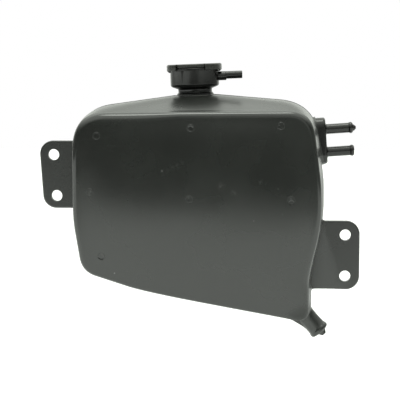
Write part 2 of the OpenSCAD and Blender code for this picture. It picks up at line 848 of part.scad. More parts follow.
// Stamped cage that holds the pressure spring and guides the plate
module spring_bell() {
    t = bell_sheet;
    color([0.72, 0.68, 0.5]) at_neck() difference() {
        rotate_extrude($fn = round_fn) polygon([
            [rivet_radius + running_gap, bell_top - t],
            [bell_radius - t, bell_top - t],
            [bell_radius - t, bell_base],
            [bell_radius + bell_flange, bell_base],
            [bell_radius + bell_flange, bell_base + t],
            [bell_radius, bell_base + t],
            [bell_radius, bell_top - t],
            [bell_radius - t, bell_top],
            [rivet_radius + running_gap, bell_top]
        ]);
        for (k = [0:bell_windows - 1]) rotate([0, 0, 360 * k / bell_windows])
            ring_sector(bell_radius - 2 * t, bell_radius + t, bell_base + 2 * t, bell_top - 3 * t, window_angle);
    }
}

// Wire coiled on a radius between two heights, its end coils closed flat
module coil(radius, wire, low, high, turns, sides, per_turn) {
    last = turns * per_turn;
    rings = [for (i = [0:last]) let(
        turn = i / per_turn,
        share = min(max((turn - dead_turns) / (turns - 2 * dead_turns), 0), 1),
        a = 360 * turn,
        z = mix(low + wire / 2, high - wire / 2, share)
    ) [for (k = [0:sides - 1]) let(b = -360 * k / sides, out = radius + wire / 2 * cos(b))
        [out * cos(a), out * sin(a), z + wire / 2 * sin(b)]]];
    skinned(rings);
}

// Spring that holds the pressure plate down
module pressure_spring() {
    radius = bell_radius - bell_sheet - spring_wire / 2 - spring_side_gap;
    color([0.75, 0.75, 0.78]) at_neck() coil(radius, spring_wire, plate_top + spring_gap,
        bell_top - bell_sheet - spring_gap, spring_turns, spring_sides, spring_steps);
}

// Plate that carries the valve gasket, with the skirt and lip that hang it on the bell
module pressure_plate() {
    flange = bell_radius + bell_flange;
    skirt = flange + lip_clear;
    lip = bell_base + bell_sheet + lip_gap;
    t = bell_sheet;
    color([0.72, 0.68, 0.5]) at_neck() difference() {
        rotate_extrude($fn = round_fn) polygon([
            [stem_radius + running_gap, plate_base],
            [plate_radius, plate_base],
            [plate_radius, plate_top],
            [skirt + t, plate_top],
            [skirt + t, lip + t],
            [bell_radius + lip_clear, lip + t],
            [bell_radius + lip_clear, lip],
            [skirt, lip],
            [skirt, plate_top],
            [hub_radius, plate_top],
            [hub_radius, hub_top],
            [stem_radius + running_gap, hub_top]
        ]);
        for (k = [0:vent_holes - 1]) rotate([0, 0, 360 * k / vent_holes])
            translate([vent_circle, 0, plate_base - past])
                cylinder(r = vent_hole, h = plate_thick + 2 * past, $fn = small_fn);
    }
}

// Rubber ring under the plate, over the seat
module valve_gasket() {
    color([0.06, 0.06, 0.06]) at_neck()
        washer(throat_diameter / 2 + rest_gap, plate_radius, gasket_foot, valve_gasket_thick);
}

// Small disc and stem that let liquid back in
module vacuum_valve() {
    face = plate_base - rest_gap;
    groove = retainer_base + retainer_thick;
    color([0.78, 0.74, 0.55]) at_neck() rotate_extrude($fn = round_fn) polygon([
        [0, face - disc_thick],
        [vacuum_radius - disc_thick / 3, face - disc_thick],
        [vacuum_radius, face - disc_thick * 2 / 3],
        [vacuum_radius, face],
        [stem_radius, face],
        [stem_radius, groove],
        [stem_radius + stem_head, groove],
        [stem_radius + stem_head / 2, groove + stem_head],
        [0, groove + stem_head]
    ]);
}

// Light spring that holds the vacuum valve shut
module vacuum_spring() {
    color([0.75, 0.75, 0.78]) at_neck() coil(stem_radius + vacuum_wire, vacuum_wire,
        hub_top + spring_gap, retainer_base - spring_gap, vacuum_turns, vacuum_sides, vacuum_steps);
}

// Washer on the end of the stem
module vacuum_retainer() {
    color([0.7, 0.7, 0.72]) at_neck()
        washer(stem_radius, retainer_radius, retainer_base, retainer_thick);
}

tank_body();
filler_neck();
vent_manifold();
cap_shell();
cap_rivet();
cap_diaphragm();
cap_gasket();
spring_bell();
pressure_spring();
pressure_plate();
valve_gasket();
vacuum_valve();
vacuum_spring();
vacuum_retainer();
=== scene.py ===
"""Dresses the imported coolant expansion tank: its blown shell, neck, vents and pressure cap.
"""

import logging
import math
from dataclasses import dataclass, field
from enum import Enum
from typing import Optional, Sequence, Union

import bmesh
import bpy
from mathutils import Matrix, Vector


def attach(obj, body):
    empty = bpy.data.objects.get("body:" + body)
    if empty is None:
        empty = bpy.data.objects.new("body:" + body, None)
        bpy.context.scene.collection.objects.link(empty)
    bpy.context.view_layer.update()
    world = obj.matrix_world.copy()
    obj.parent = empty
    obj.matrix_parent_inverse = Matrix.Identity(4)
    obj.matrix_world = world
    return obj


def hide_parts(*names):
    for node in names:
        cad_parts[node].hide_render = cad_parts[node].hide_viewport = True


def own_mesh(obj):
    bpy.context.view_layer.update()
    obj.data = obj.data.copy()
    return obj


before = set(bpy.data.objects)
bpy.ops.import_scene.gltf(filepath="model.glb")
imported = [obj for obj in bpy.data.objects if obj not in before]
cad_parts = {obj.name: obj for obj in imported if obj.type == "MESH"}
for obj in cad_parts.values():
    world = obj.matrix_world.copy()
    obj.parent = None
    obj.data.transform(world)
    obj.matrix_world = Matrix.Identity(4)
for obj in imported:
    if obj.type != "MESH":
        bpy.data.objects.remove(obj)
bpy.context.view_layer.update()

LOG = logging.getLogger("expansion_tank")

# Metres in a millimetre
MM = 0.001
# The parting plane and the front face, in millimetres
PARTING_Y = -3.0
FACE_Y = -79.0
# Points closer than the first are merged and edges shorter than the second dissolved, in metres
MERGE = 2e-6
SLIVER = 1e-6
# How far a cut or a root reaches past the surface that it meets, in millimetres
PAST = 1.0
# Steps in a whole turn, from the widest turned forms to the smallest holes
RIM_STEPS = 128
ROUND_STEPS = 96
BARB_STEPS = 72
TUBE_STEPS = 64
BORE_STEPS = 48
VENT_STEPS = 24
# The sides of a mirrored pair, and the turns of a pair that stands opposite each other
SIDES = (-1, 1)
HALF_TURNS = (0.0, 180.0)
# Places of the Mix node's factor, and of a, b and the result for numbers and for colours
MIX_FACTOR = 0
MIX_NUMBERS = (2, 3, 0)
MIX_COLOURS = (6, 7, 2)

Point2 = tuple[float, float]
Point3 = tuple[float, float, float]
Corner2 = tuple[float, float, float]
Colour = tuple[float, float, float]
Mark = tuple[float, float, float, float]
Key = Union[str, int]


def mix(a: float, b: float, share: float) -> float:
    """Returns the value that lies share of the way from a to b."""
    return a + (b - a) * share


def rise(value: float, first: float, last: float) -> float:
    """Returns 0 before first and 1 past last, with a smooth rise between; last may be the smaller one."""
    t = min(1.0, max(0.0, (value - first) / (last - first)))
    return t * t * (3 - 2 * t)


# Shader wiring


class Wire:
    """An output of a shader node that can stand in sums and products."""

    def __init__(self, graph: "Graph", socket: bpy.types.NodeSocket) -> None:
        """Keeps the graph and the socket that the wire leaves from."""
        self.graph = graph
        self.socket = socket

    def __add__(self, other: "Term") -> "Wire":
        """Returns self + other."""
        return self.graph.math("ADD", self, other)

    def __sub__(self, other: "Term") -> "Wire":
        """Returns self - other."""
        return self.graph.math("SUBTRACT", self, other)

    def __rsub__(self, other: "Term") -> "Wire":
        """Returns other - self."""
        return self.graph.math("SUBTRACT", other, self)

    def __mul__(self, other: "Term") -> "Wire":
        """Returns self * other."""
        return self.graph.math("MULTIPLY", self, other)

    __radd__ = __add__
    __rmul__ = __mul__

    def highest(self, other: "Term") -> "Wire":
        """Returns the larger of self and other."""
        return self.graph.math("MAXIMUM", self, other)


Term = Union[Wire, float, Sequence[float]]


class Graph:
    """A node tree of a material or of the world, emptied and ready to wire."""

    def __init__(self, owner: Union[bpy.types.Material, bpy.types.World]) -> None:
        """Empties the node tree of its owner.

        Args:
            owner: The material or world whose tree is wired.
        """
        owner.use_nodes = True
        self.tree = owner.node_tree
        self.tree.nodes.clear()

    def node(self, kind: str, inputs: dict[Key, Term], output: Key = 0, **options: object) -> Wire:
        """Adds any node, sets its options and feeds its inputs.

        Args:
            kind: The node's type name.
            inputs: What each input, by name or number, is fed with or set to.
            output: The output, by name or number, that is returned.
            options: Properties of the node.

        Returns:
            The chosen output.
        """
        made = self.tree.nodes.new(kind)
        for name, value in options.items():
            setattr(made, name, value)
        for key, value in inputs.items():
            self.feed(made.inputs[key], value)
        return Wire(self, made.outputs[output])

    def feed(self, socket: bpy.types.NodeSocket, value: Term) -> None:
        """Links a wire to a socket, or sets the socket's own value.

        Args:
            socket: The input that is fed.
            value: The wire, or what the socket is set to.
        """
        if isinstance(value, Wire):
            self.tree.links.new(value.socket, socket)
        else:
            socket.default_value = value

    def math(self, operation: str, a: Term, b: Term = 0.0) -> Wire:
        """Returns a Math node's result for a and b."""
        return self.node("ShaderNodeMath", {0: a, 1: b}, operation=operation)

    def vector(self, operation: str, a: Term, b: Term, output: str = "Vector") -> Wire:
        """Returns a Vector Math node's result for a and b."""
        return self.node("ShaderNodeVectorMath", {0: a, 1: b}, output, operation=operation)

    def blend(self, factor: Term, a: Term, b: Term) -> Wire:
        """Returns the colour that lies factor of the way from a to b."""
        at_a, at_b, result = MIX_COLOURS
        return self.node("ShaderNodeMix", {MIX_FACTOR: factor, at_a: a, at_b: b}, result, data_type="RGBA")

    def between(self, factor: Term, a: Term, b: Term) -> Wire:
        """Returns the number that lies factor of the way from a to b."""
        at_a, at_b, result = MIX_NUMBERS
        return self.node("ShaderNodeMix", {MIX_FACTOR: factor, at_a: a, at_b: b}, result, data_type="FLOAT")

    def ramp(self, value: Term, low: float, high: float, start: float = 0.0, end: float = 1.0) -> Wire:
        """Maps low..high of a value smoothly to start..end.

        Args:
            value: What is mapped.
            low: Where the ramp starts.
            high: Where it ends.
            start: The result at low.
            end: The result at high.

        Returns:
            The mapped value.
        """
        ends = {"Value": value, "From Min": low, "From Max": high, "To Min": start, "To Max": end}
        return self.node("ShaderNodeMapRange", ends, interpolation_type="SMOOTHSTEP")

    def place(self) -> Wire:
        """Returns the point being shaded, in the object's own metres."""
        return self.node("ShaderNodeTexCoord", {}, "Object")

    def axis(self, where: Wire, name: str) -> Wire:
        """Returns one coordinate, by its letter."""
        return self.node("ShaderNodeSeparateXYZ", {0: where}, name)

    def noise(self, where: Term, scale: float, detail: float = 2.0, rough: float = 0.5) -> Wire:
        """Returns a cloudy value around a half.

        Args:
            where: The coordinates.
            scale: Clouds in a metre.
            detail: Finer layers of cloud.
            rough: Strength of the finer layers.

        Returns:
            The noise's value.
        """
        inputs: dict[Key, Term] = {"Vector": where, "Scale": scale, "Detail": detail, "Roughness": rough}
        return self.node("ShaderNodeTexNoise", inputs)

    def stretched(self, where: Term, along: Sequence[float]) -> Wire:
        """Returns coordinates scaled on each axis."""
        return self.vector("MULTIPLY", where, along)

    def spot(self, where: Term, centre: Sequence[float], radius: float, soft: float = 0.5) -> Wire:
        """Returns 1 inside a ball, falling to 0 at its rim.

        Args:
            where: The coordinates in metres.
            centre: The ball's middle in millimetres.
            radius: The ball's radius in millimetres.
            soft: The share of the radius over which it fades.

        Returns:
            The mask.
        """
        gap = self.vector("DISTANCE", where, [c * MM for c in centre], "Value")
        return self.ramp(gap, radius * (1 - soft) * MM, radius * MM, 1.0, 0.0)

    def bump(self, height: Wire, depth: float, under: Optional[Wire] = None) -> Wire:
        """Returns a normal bent by a height.

        Args:
            height: The height, around 0 to 1.
            depth: What a height of 1 stands for, in millimetres.
            under: A normal that is bent already.

        Returns:
            The new normal.
        """
        inputs: dict[Key, Term] = {"Height": height, "Strength": 1.0, "Distance": depth * MM}
        if under is not None:
            inputs["Normal"] = under
        return self.node("ShaderNodeBump", inputs, "Normal")

    def surface(self, inputs: dict[Key, Term]) -> None:
        """Ends a material in one Principled shader with these inputs."""
        shader = self.node("ShaderNodeBsdfPrincipled", inputs, "BSDF")
        self.node_out("ShaderNodeOutputMaterial", shader)

    def node_out(self, kind: str, shader: Wire) -> None:
        """Adds the output node that takes a shader."""
        self.tree.links.new(shader.socket, self.tree.nodes.new(kind).inputs["Surface"])


def grey(value: float) -> tuple[float, float, float, float]:
    """Returns a neutral colour."""
    return (value, value, value, 1.0)


def rgba(colour: Colour, scale: float = 1.0) -> tuple[float, float, float, float]:
    """Returns a colour with alpha, made lighter or darker by scale."""
    return (colour[0] * scale, colour[1] * scale, colour[2] * scale, 1.0)


# Finishes


@dataclass(frozen=True)
class Finish:
    """What every finish has: the record's slot, a colour, a range of roughness and the strength of its gloss.

    In the finishes a scale is clouds in a metre, and a range is where in a cloud a mark starts and is full.
    """

    slot: str
    colour: Colour
    rough: Point2
    gloss: float = 0.5

    def material(self) -> bpy.types.Material:
        """Makes the finish's material, or finds the one that was made before.

        Returns:
            The material.
        """
        name = self.slot + "_finish"
        found = bpy.data.materials.get(name)
        if found is None:
            found = bpy.data.materials.new(name)
            self.wire(Graph(found))
        return found

    def wire(self, graph: Graph) -> None:
        """Wires the material; each finish has its own way."""
        raise NotImplementedError

    def shades(self, graph: Graph, cloud: Wire, spread: float) -> Wire:
        """Returns the finish's colour, darker and lighter by a spread as a cloud goes from 0 to 1."""
        return graph.blend(cloud, rgba(self.colour, 1 - spread), rgba(self.colour, 1 + spread))


@dataclass(frozen=True)
class MouldedPlastic(Finish):
    """Blow-moulded black plastic: wavy in the large, grained in the fine, with scuffs and specks of dust.

    A mark on the face is its place across and up, its radius, and its strength or, for a dent, its depth.
    """

    cloud_scale: float = 14.0
    cloud_range: Point2 = (0.3, 0.7)
    cloud_spread: float = 0.12
    wave_scale: float = 9.0
    wave: float = 0.35
    grain_scale: float = 1500.0
    grain: float = 0.006
    dust_scale: float = 900.0
    dust_range: Point2 = (0.66, 0.8)
    dust: float = 0.25
    dust_grey: float = 0.16
    dust_rough: float = 0.2
    streak_scale: Point3 = (60.0, 60.0, 900.0)
    streak_range: Point2 = (0.68, 0.78)
    scratched_scale: float = 40.0
    scratched_range: Point2 = (0.5, 0.7)
    scratch: float = 0.2
    veil_scale: float = 420.0
    veil_range: Point2 = (0.4, 0.7)
    specks: tuple[Mark, ...] = ()
    smudges: tuple[Mark, ...] = ()
    dents: tuple[Mark, ...] = ()
    dent_edge: float = 0.4
    # Painted shade in the dents: how strongly it follows their depth, and the share of the colour that it
    # darkens to
    dent_shadow: float = 3.0
    dent_shade_tone: float = 0.3
    side_y: Point2 = (-0.079, -0.068)
    side_rough: float = 0.14
    worn_at: Point3 = (0.0, 0.0, 0.0)
    worn_radius: float = 0.0
    worn_edge: float = 0.6
    worn_rough: float = 0.0

    def marks(self, graph: Graph, at: Wire) -> Wire:
        """Wires the dust, the scratches, the specks and the smudges.

        Args:
            graph: The material's tree.
            at: The point being shaded.

        Returns:
            How strongly the surface is marked, from 0 to 1.
        """
        dust = graph.ramp(graph.noise(at, self.dust_scale, detail=3.0, rough=0.7), *self.dust_range)
        streak = graph.noise(graph.stretched(at, self.streak_scale), 1.0, detail=3.0, rough=0.6)
        scratched = graph.ramp(graph.noise(at, self.scratched_scale), *self.scratched_range)
        marks = dust * self.dust + graph.ramp(streak, *self.streak_range) * scratched * self.scratch
        for x, z, radius, strength in self.specks:
            marks = marks.highest(graph.spot(at, (x, FACE_Y, z), radius) * strength)
        veil = graph.ramp(graph.noise(at, self.veil_scale, detail=4.0, rough=0.7), *self.veil_range)
        for x, z, radius, strength in self.smudges:
            marks = marks.highest(graph.spot(at, (x, FACE_Y, z), radius, 1.0) * veil * strength)
        return marks

    def relief(self, graph: Graph, at: Wire) -> tuple[Wire, Term]:
        """Wires the waves, the dents and the grain.

        Args:
            graph: The material's tree.
            at: The point being shaded.

        Returns:
            The bent normal, and how deep in a dent the point is, which the painted shade in the dents
            follows.
        """
        hollow = graph.noise(at, self.wave_scale, detail=1.0) * self.wave
        sunk: Term = 0.0
        for x, z, radius, depth in self.dents:
            dent = graph.spot(at, (x, FACE_Y, z), radius, self.dent_edge) * depth
            hollow = hollow - dent
            sunk = dent.highest(sunk)
        swell = graph.bump(hollow, 1.0)
        return graph.bump(graph.noise(at, self.grain_scale), self.grain, swell), sunk

    def wire(self, graph: Graph) -> None:
        """Wires cloudy colour, uneven gloss, the marks, the relief and painted shade in the dents, duller
        behind the face and where worn.

        Args:
            graph: The material's empty tree.
        """
        at = graph.place()
        cloud = graph.noise(at, self.cloud_scale, detail=4.0)
        marks = self.marks(graph, at)
        normal, sunk = self.relief(graph, at)
        body = self.shades(graph, graph.ramp(cloud, *self.cloud_range), self.cloud_spread)
        # Painted shade: the colour is darkened in the dents, the more the deeper they are
        shaded = graph.blend(sunk * self.dent_shadow, body, rgba(self.colour, self.dent_shade_tone))
        rough = graph.ramp(cloud, *self.cloud_range, *self.rough)
        behind_face = graph.ramp(graph.axis(at, "Y"), *self.side_y, 0.0, self.side_rough)
        worn = graph.spot(at, self.worn_at, self.worn_radius, self.worn_edge) * self.worn_rough
        graph.surface({
            "Base Color": graph.blend(marks, shaded, grey(self.dust_grey)),
            "Roughness": rough + behind_face + marks * self.dust_rough + worn,
            "Specular IOR Level": self.gloss,
            "Normal": normal,
        })


@dataclass(frozen=True)
class GlossPlastic(Finish):
    """Injection-moulded black plastic: bright, with faint flow clouds and handling marks."""

    flow_scale: float = 60.0
    flow: float = 0.012
    cloud_scale: float = 45.0
    cloud_range: Point2 = (0.35, 0.65)
    cloud_spread: float = 0.2
    handled_scale: float = 700.0
    handled_range: Point2 = (0.6, 0.8)
    handled: float = 0.12
    handled_grey: float = 0.12
    handled_rough: float = 0.08

    def wire(self, graph: Graph) -> None:
        """Wires flow clouds, uneven gloss and fine handling marks.

        Args:
            graph: The material's empty tree.
        """
        at = graph.place()
        cloud = graph.noise(at, self.cloud_scale, detail=3.0)
        marks = graph.ramp(graph.noise(at, self.handled_scale, detail=3.0, rough=0.7), *self.handled_range)
        body = self.shades(graph, cloud, self.cloud_spread)
        graph.surface({
            "Base Color": graph.blend(marks * self.handled, body, grey(self.handled_grey)),
            "Roughness": graph.ramp(cloud, *self.cloud_range, *self.rough) + marks * self.handled_rough,
            "Specular IOR Level": self.gloss,
            "Normal": graph.bump(graph.noise(at, self.flow_scale), self.flow),
        })


@dataclass(frozen=True)
class PressPaint(Finish):
    """Black paint on pressed steel: a soft gloss with orange peel and rubbed spots."""

    peel_scale: float = 850.0
    peel_range: Point2 = (0.35, 0.65)
    peel: float = 0.012
    cloud_scale: float = 60.0
    cloud_spread: float = 0.15
    rubbed_scale: float = 150.0
    rubbed_range: Point2 = (0.62, 0.75)
    rubbed: float = 0.3
    rubbed_grey: float = 0.07
    rubbed_rough: float = 0.12

    def wire(self, graph: Graph) -> None:
        """Wires rubbed spots and orange peel.

        Args:
            graph: The material's empty tree.
        """
        at = graph.place()
        peel = graph.noise(at, self.peel_scale)
        rubbed = graph.ramp(graph.noise(at, self.rubbed_scale, detail=4.0, rough=0.7), *self.rubbed_range)
        body = self.shades(graph, graph.noise(at, self.cloud_scale), self.cloud_spread)
        graph.surface({
            "Base Color": graph.blend(rubbed * self.rubbed, body, grey(self.rubbed_grey)),
            "Roughness": graph.ramp(peel, *self.peel_range, *self.rough) + rubbed * self.rubbed_rough,
            "Specular IOR Level": self.gloss,
            "Normal": graph.bump(peel, self.peel),
        })


@dataclass(frozen=True)
class DrawnMetal(Finish):
    """Bare or plated metal: tool lines round the axis, stains and a worn gloss."""

    line_scale: Point3 = (90.0, 90.0, 2600.0)
    line_range: Point2 = (0.3, 0.7)
    lines: float = 0.004
    stain: Colour = (0.2, 0.2, 0.2)
    stain_scale: float = 170.0
    stain_range: Point2 = (0.52, 0.78)
    stained: float = 0.45
    stained_rough: float = 0.15

    def wire(self, graph: Graph) -> None:
        """Wires tool lines, stains and uneven gloss.

        Args:
            graph: The material's empty tree.
        """
        at = graph.place()
        lines = graph.noise(graph.stretched(at, self.line_scale), 1.0, detail=3.0, rough=0.6)
        stains = graph.ramp(graph.noise(at, self.stain_scale, detail=4.0, rough=0.6), *self.stain_range)
        graph.surface({
            "Base Color": graph.blend(stains * self.stained, rgba(self.colour), rgba(self.stain)),
            "Metallic": 1.0,
            "Roughness": graph.ramp(lines, *self.line_range, *self.rough) + stains * self.stained_rough,
            "Normal": graph.bump(lines, self.lines),
        })


@dataclass(frozen=True)
class SealRubber(Finish):
    """Matt black rubber with a chalky bloom and fine pores."""

    bloom_scale: float = 220.0
    bloom_range: Point2 = (0.4, 0.75)
    bloom: float = 0.5
    bloom_grey: float = 0.045
    pore_scale: float = 2400.0
    pore_range: Point2 = (0.3, 0.7)
    pores: float = 0.01

    def wire(self, graph: Graph) -> None:
        """Wires the bloom and the pores.

        Args:
            graph: The material's empty tree.
        """
        at = graph.place()
        bloom = graph.ramp(graph.noise(at, self.bloom_scale, detail=4.0, rough=0.6), *self.bloom_range)
        pores = graph.noise(at, self.pore_scale)
        graph.surface({
            "Base Color": graph.blend(bloom * self.bloom, rgba(self.colour), grey(self.bloom_grey)),
            "Roughness": graph.ramp(pores, *self.pore_range, *self.rough),
            "Specular IOR Level": self.gloss,
            "Normal": graph.bump(pores, self.pores),
        })


class Finishes(Enum):
    """The finishes of the tank's pieces, one for each slot of the record."""

    TANK = MouldedPlastic(
        "tank_plastic", (0.0208, 0.0226, 0.0206), (0.12, 0.16), 0.75,
        specks=(
            (-190.7, 96.5, 1.4, 0.5), (-96.8, 45.8, 1.3, 1.0), (-72.3, 78.6, 1.0, 0.5),
            (-67.6, 52.5, 0.9, 0.5), (-240.2, -9.8, 1.5, 0.9), (-212.0, 138.1, 0.8, 0.4),
            (-70.5, 147.0, 1.2, 0.6),
        ),
        smudges=(
            (-130.3, 81.3, 6.0, 0.3), (-117.3, 74.7, 4.5, 0.25), (-190.0, 93.0, 3.5, 0.1),
            (-185.0, 96.5, 3.5, 0.14), (-180.0, 99.0, 4.0, 0.16), (-175.0, 102.0, 4.0, 0.18),
            (-170.0, 106.0, 4.0, 0.18), (-90.0, 86.0, 4.0, 0.2), (-86.0, 84.0, 3.0, 0.2),
            (-265.5, 74.3, 4.0, 0.45), (-162.8, 70.0, 3.4, 0.35), (-58.7, 69.0, 3.4, 0.3),
        ),
        dents=(
            (-161.5, 139.8, 3.2, 0.22), (-58.7, 64.5, 3.0, 0.08), (-253.7, 7.3, 3.6, 0.1),
            (-257.8, 132.1, 3.0, 0.05), (-71.5, 141.5, 2.4, 0.07),
        ),
        worn_at=(-44.0, -66.0, -70.0), worn_radius=36.0, worn_rough=0.55,
    )
    NECK = GlossPlastic("neck_plastic", (0.009, 0.0092, 0.0086), (0.17, 0.23), 0.5)
    CAP = PressPaint("cap_paint", (0.028, 0.029, 0.0255), (0.24, 0.34))
    RIVET = DrawnMetal("rivet_steel", (0.42, 0.42, 0.43), (0.25, 0.4), stain=(0.16, 0.15, 0.14))
    SPRING = DrawnMetal("spring_steel", (0.5, 0.5, 0.52), (0.18, 0.3), stain=(0.22, 0.22, 0.22))
    PLATED = DrawnMetal("plated_steel", (0.5, 0.44, 0.26), (0.25, 0.4), stain=(0.34, 0.27, 0.14))
    BRASS = DrawnMetal("valve_brass", (0.55, 0.46, 0.22), (0.2, 0.32), stain=(0.26, 0.2, 0.1))
    RUBBER = SealRubber("black_rubber", (0.018, 0.018, 0.018), (0.6, 0.8), 0.3)


# Shapes


@dataclass(frozen=True)
class Placement:
    """A frame in the part: its origin in millimetres, a pitch about X, a tilt about Y and a turn about Z."""

    origin: Point3
    tilt: float = 0.0
    turn: float = 0.0
    pitch: float = 0.0

    def matrix(self) -> Matrix:
        """Works out where the frame stands.

        Returns:
            The matrix from local millimetres to the part's millimetres.
        """
        pitch = Matrix.Rotation(math.radians(self.pitch), 4, "X")
        tilt = Matrix.Rotation(math.radians(self.tilt), 4, "Y")
        turn = Matrix.Rotation(math.radians(self.turn), 4, "Z")
        return Matrix.Translation(self.origin) @ pitch @ tilt @ turn

    def turned(self, angle: float) -> "Placement":
        """Returns the same frame turned further about its own axis."""
        return Placement(self.origin, self.tilt, self.turn + angle)


# Frames of the sub-assemblies: Z runs up the neck, and outwards along the outlet and the barbs
AT_PART = Placement((0.0, 0.0, 0.0))
AT_NECK = Placement((-161.4, PARTING_Y, 172.6), -2.3)
AT_CAP = AT_NECK.turned(-6.0)
AT_SPIGOT = Placement((-25.5, PARTING_Y, -83.6), 137.6)
AT_MANIFOLD = Placement((-21.2, PARTING_Y, 123.6), 86.0)
AT_VENT_SEAT = Placement((-28.1494, PARTING_Y, 123.6), 78.0)

# A corner this close to straight, in radians, stays sharp, and an arc takes at most this share of an edge
STRAIGHT = 0.01
EDGE_SHARE = 0.49


def rounded(corners: Sequence[Corner2], steps: int = 5) -> list[Point2]:
    """Rounds the corners of a closed outline by arcs.

    Args:
        corners: Each corner with its radius, 0 for a sharp one.
        steps: Steps in each arc.

    Returns:
        The points of the rounded outline.
    """
    points: list[Point2] = []
    count = len(corners)
    for i, (x, z, radius) in enumerate(corners):
        here = Vector((x, z))
        to_last = Vector(corners[i - 1][:2]) - here
        to_next = Vector(corners[(i + 1) % count][:2]) - here
        bend = to_last.angle(to_next)
        if radius <= 0 or bend > math.pi - STRAIGHT:
            points.append((x, z))
            continue
        reach = radius / math.tan(bend / 2)
        room = EDGE_SHARE * min(to_last.length, to_next.length)
        radius *= min(1.0, room / reach)
        reach = min(reach, room)
        a, b = to_last.normalized(), to_next.normalized()
        centre = here + (a + b).normalized() * radius / math.sin(bend / 2)
        first, last = here + a * reach - centre, here + b * reach - centre
        for k in range(steps + 1):
            spoke = first.lerp(last, k / steps).normalized() * radius
            points.append((centre.x + spoke.x, centre.y + spoke.y))
    return points


@dataclass
class Shape:
    """A closed mesh in millimetres, as points and faces."""

    points: list[Vector] = field(default_factory=list)
    faces: list[tuple[int, ...]] = field(default_factory=list)

    @staticmethod
    def loft(rings: Sequence[Sequence[Vector]], tips: Sequence[Vector] = ()) -> "Shape":
        """Skins rings of equal length, with flat ends or fans that rise to two tips.

        Args:
            rings: The rings, in order.
            tips: No tips, or the first and the last.

        Returns:
            The skinned shape.
        """
        n, m = len(rings[0]), len(rings)
        shape = Shape([p for ring in rings for p in ring] + list(tips))
        for i in range(m - 1):
            for k in range(n):
                a, b = i * n + k, i * n + (k + 1) % n
                shape.faces.append((a, b, b + n, a + n))
        last = (m - 1) * n
        if tips:
            shape.faces += [((k + 1) % n, k, n * m) for k in range(n)]
            shape.faces += [(last + k, last + (k + 1) % n, n * m + 1) for k in range(n)]
        else:
            shape.faces += [tuple(range(n - 1, -1, -1)), tuple(last + k for k in range(n))]
        return shape

    @staticmethod
    def lathe(profile: Sequence[Point2], steps: int = ROUND_STEPS, start: float = 0.0,
              angle: float = 360.0) -> "Shape":
        """Turns a closed profile of (radius, height) points about Z.

        Args:
            profile: The profile's points.
            steps: Steps in a whole turn.
            start: Where the turn starts, in degrees.
            angle: How far it goes.

        Returns:
            The turned shape.
        """
        whole = angle >= 360.0
        count = steps if whole else max(2, round(steps * angle / 360.0))
        n = len(profile)
        shape = Shape()
        for i in range(count + (0 if whole else 1)):
            turn = math.radians(start + angle * i / count)
            shape.points += [Vector((r * math.cos(turn), r * math.sin(turn), z)) for r, z in profile]
        for i in range(count):
            after = (i + 1) % count if whole else i + 1
            for k in range(n):
                j = (k + 1) % n
                shape.faces.append((i * n + k, after * n + k, after * n + j, i * n + j))
        if not whole:
            shape.faces += [tuple(range(n)), tuple(count * n + k for k in range(n - 1, -1, -1))]
        return shape

    @staticmethod
    def prism(outline: Sequence[Point2], low: float, high: float) -> "Shape":
        """Returns an upright prism over an outline."""
        return Shape.loft([[Vector((x, y, z)) for x, y in outline] for z in (low, high)])

    def moved(self, x: float, z: float = 0.0) -> "Shape":
        """Returns the shape, moved across and up in its own frame."""
        return Shape([p + Vector((x, 0.0, z)) for p in self.points], self.faces)

    def build(self, name: str, placement: Placement = AT_PART) -> bpy.types.Object:
        """Makes a Blender object of the shape, its points merged and its faces outwards.

        Args:
            name: The object's name.
            placement: The local frame that the shape is in.

        Returns:
            The object, at the origin and in metres.
        """
        matrix = Matrix.Scale(MM, 4) @ placement.matrix()
        mesh = bpy.data.meshes.new(name)
        mesh.from_pydata([matrix @ p for p in self.points], [], self.faces)
        work = bmesh.new()
        work.from_mesh(mesh)
        bmesh.ops.remove_doubles(work, verts=work.verts, dist=MERGE)
        bmesh.ops.dissolve_degenerate(work, edges=work.edges, dist=SLIVER)
        bmesh.ops.recalc_face_normals(work, faces=work.faces)
        work.to_mesh(mesh)
        work.free()
        made = bpy.data.objects.new(name, mesh)
        bpy.context.scene.collection.objects.link(made)
        return made


def band(inner: float, outer: float, low: float, high: float) -> list[Point2]:
    """Returns a profile or an outline with four square corners."""
    return [(inner, low), (outer, low), (outer, high), (inner, high)]


def quarter_round(radius: float, steps: int) -> list[Point2]:
    """Returns the steps round an edge: how far each is set in, and how far it is below the face."""
    turns = [math.radians(90 * k / steps) for k in range(steps + 1)]
    return [(radius * (1 - math.cos(turn)), radius * (1 - math.sin(turn))) for turn in turns]


class Join(Enum):
    """How one solid is set against another."""

    ADD = "UNION"
    CUT = "DIFFERENCE"


def flatten(made: bpy.types.Object) -> None:
    """Replaces an object's mesh by what its modifiers make of it, and removes them.

    Args:
        made: The object.
    """
    graph = bpy.context.evaluated_depsgraph_get()
    old = made.data
    made.data = bpy.data.meshes.new_from_object(made.evaluated_get(graph), depsgraph=graph)
    made.modifiers.clear()
    bpy.data.meshes.remove(old)


def joined(base: bpy.types.Object, others: Sequence[bpy.types.Object], how: Join) -> bpy.types.Object:
    """Adds solids to a base, or cuts them out of it, and removes them.

    Args:
        base: The solid that stays.
        others: The solids that are used up.
        how: Whether they are added or cut out.

    Returns:
        The base.
    """
    for other in others:
        step = base.modifiers.new("step", "BOOLEAN")
        step.operation = how.value
        step.solver = "MANIFOLD"
        step.object = other
    flatten(base)
    for other in others:
        mesh = other.data
        bpy.data.objects.remove(other)
        bpy.data.meshes.remove(mesh)
    return base


def shade(made: bpy.types.Object, sharp_from: float = 32.0) -> None:
    """Shades an object smooth, but keeps edges sharper than an angle.

    Args:
        made: The object.
        sharp_from: The angle in degrees.
    """
    work = bmesh.new()
    work.from_mesh(made.data)
    limit = math.radians(sharp_from)
    for face in work.faces:
        face.smooth = True
    for edge in work.edges:
        edge.smooth = len(edge.link_faces) == 2 and edge.calc_face_angle(0.0) < limit
    work.to_mesh(made.data)
    work.free()


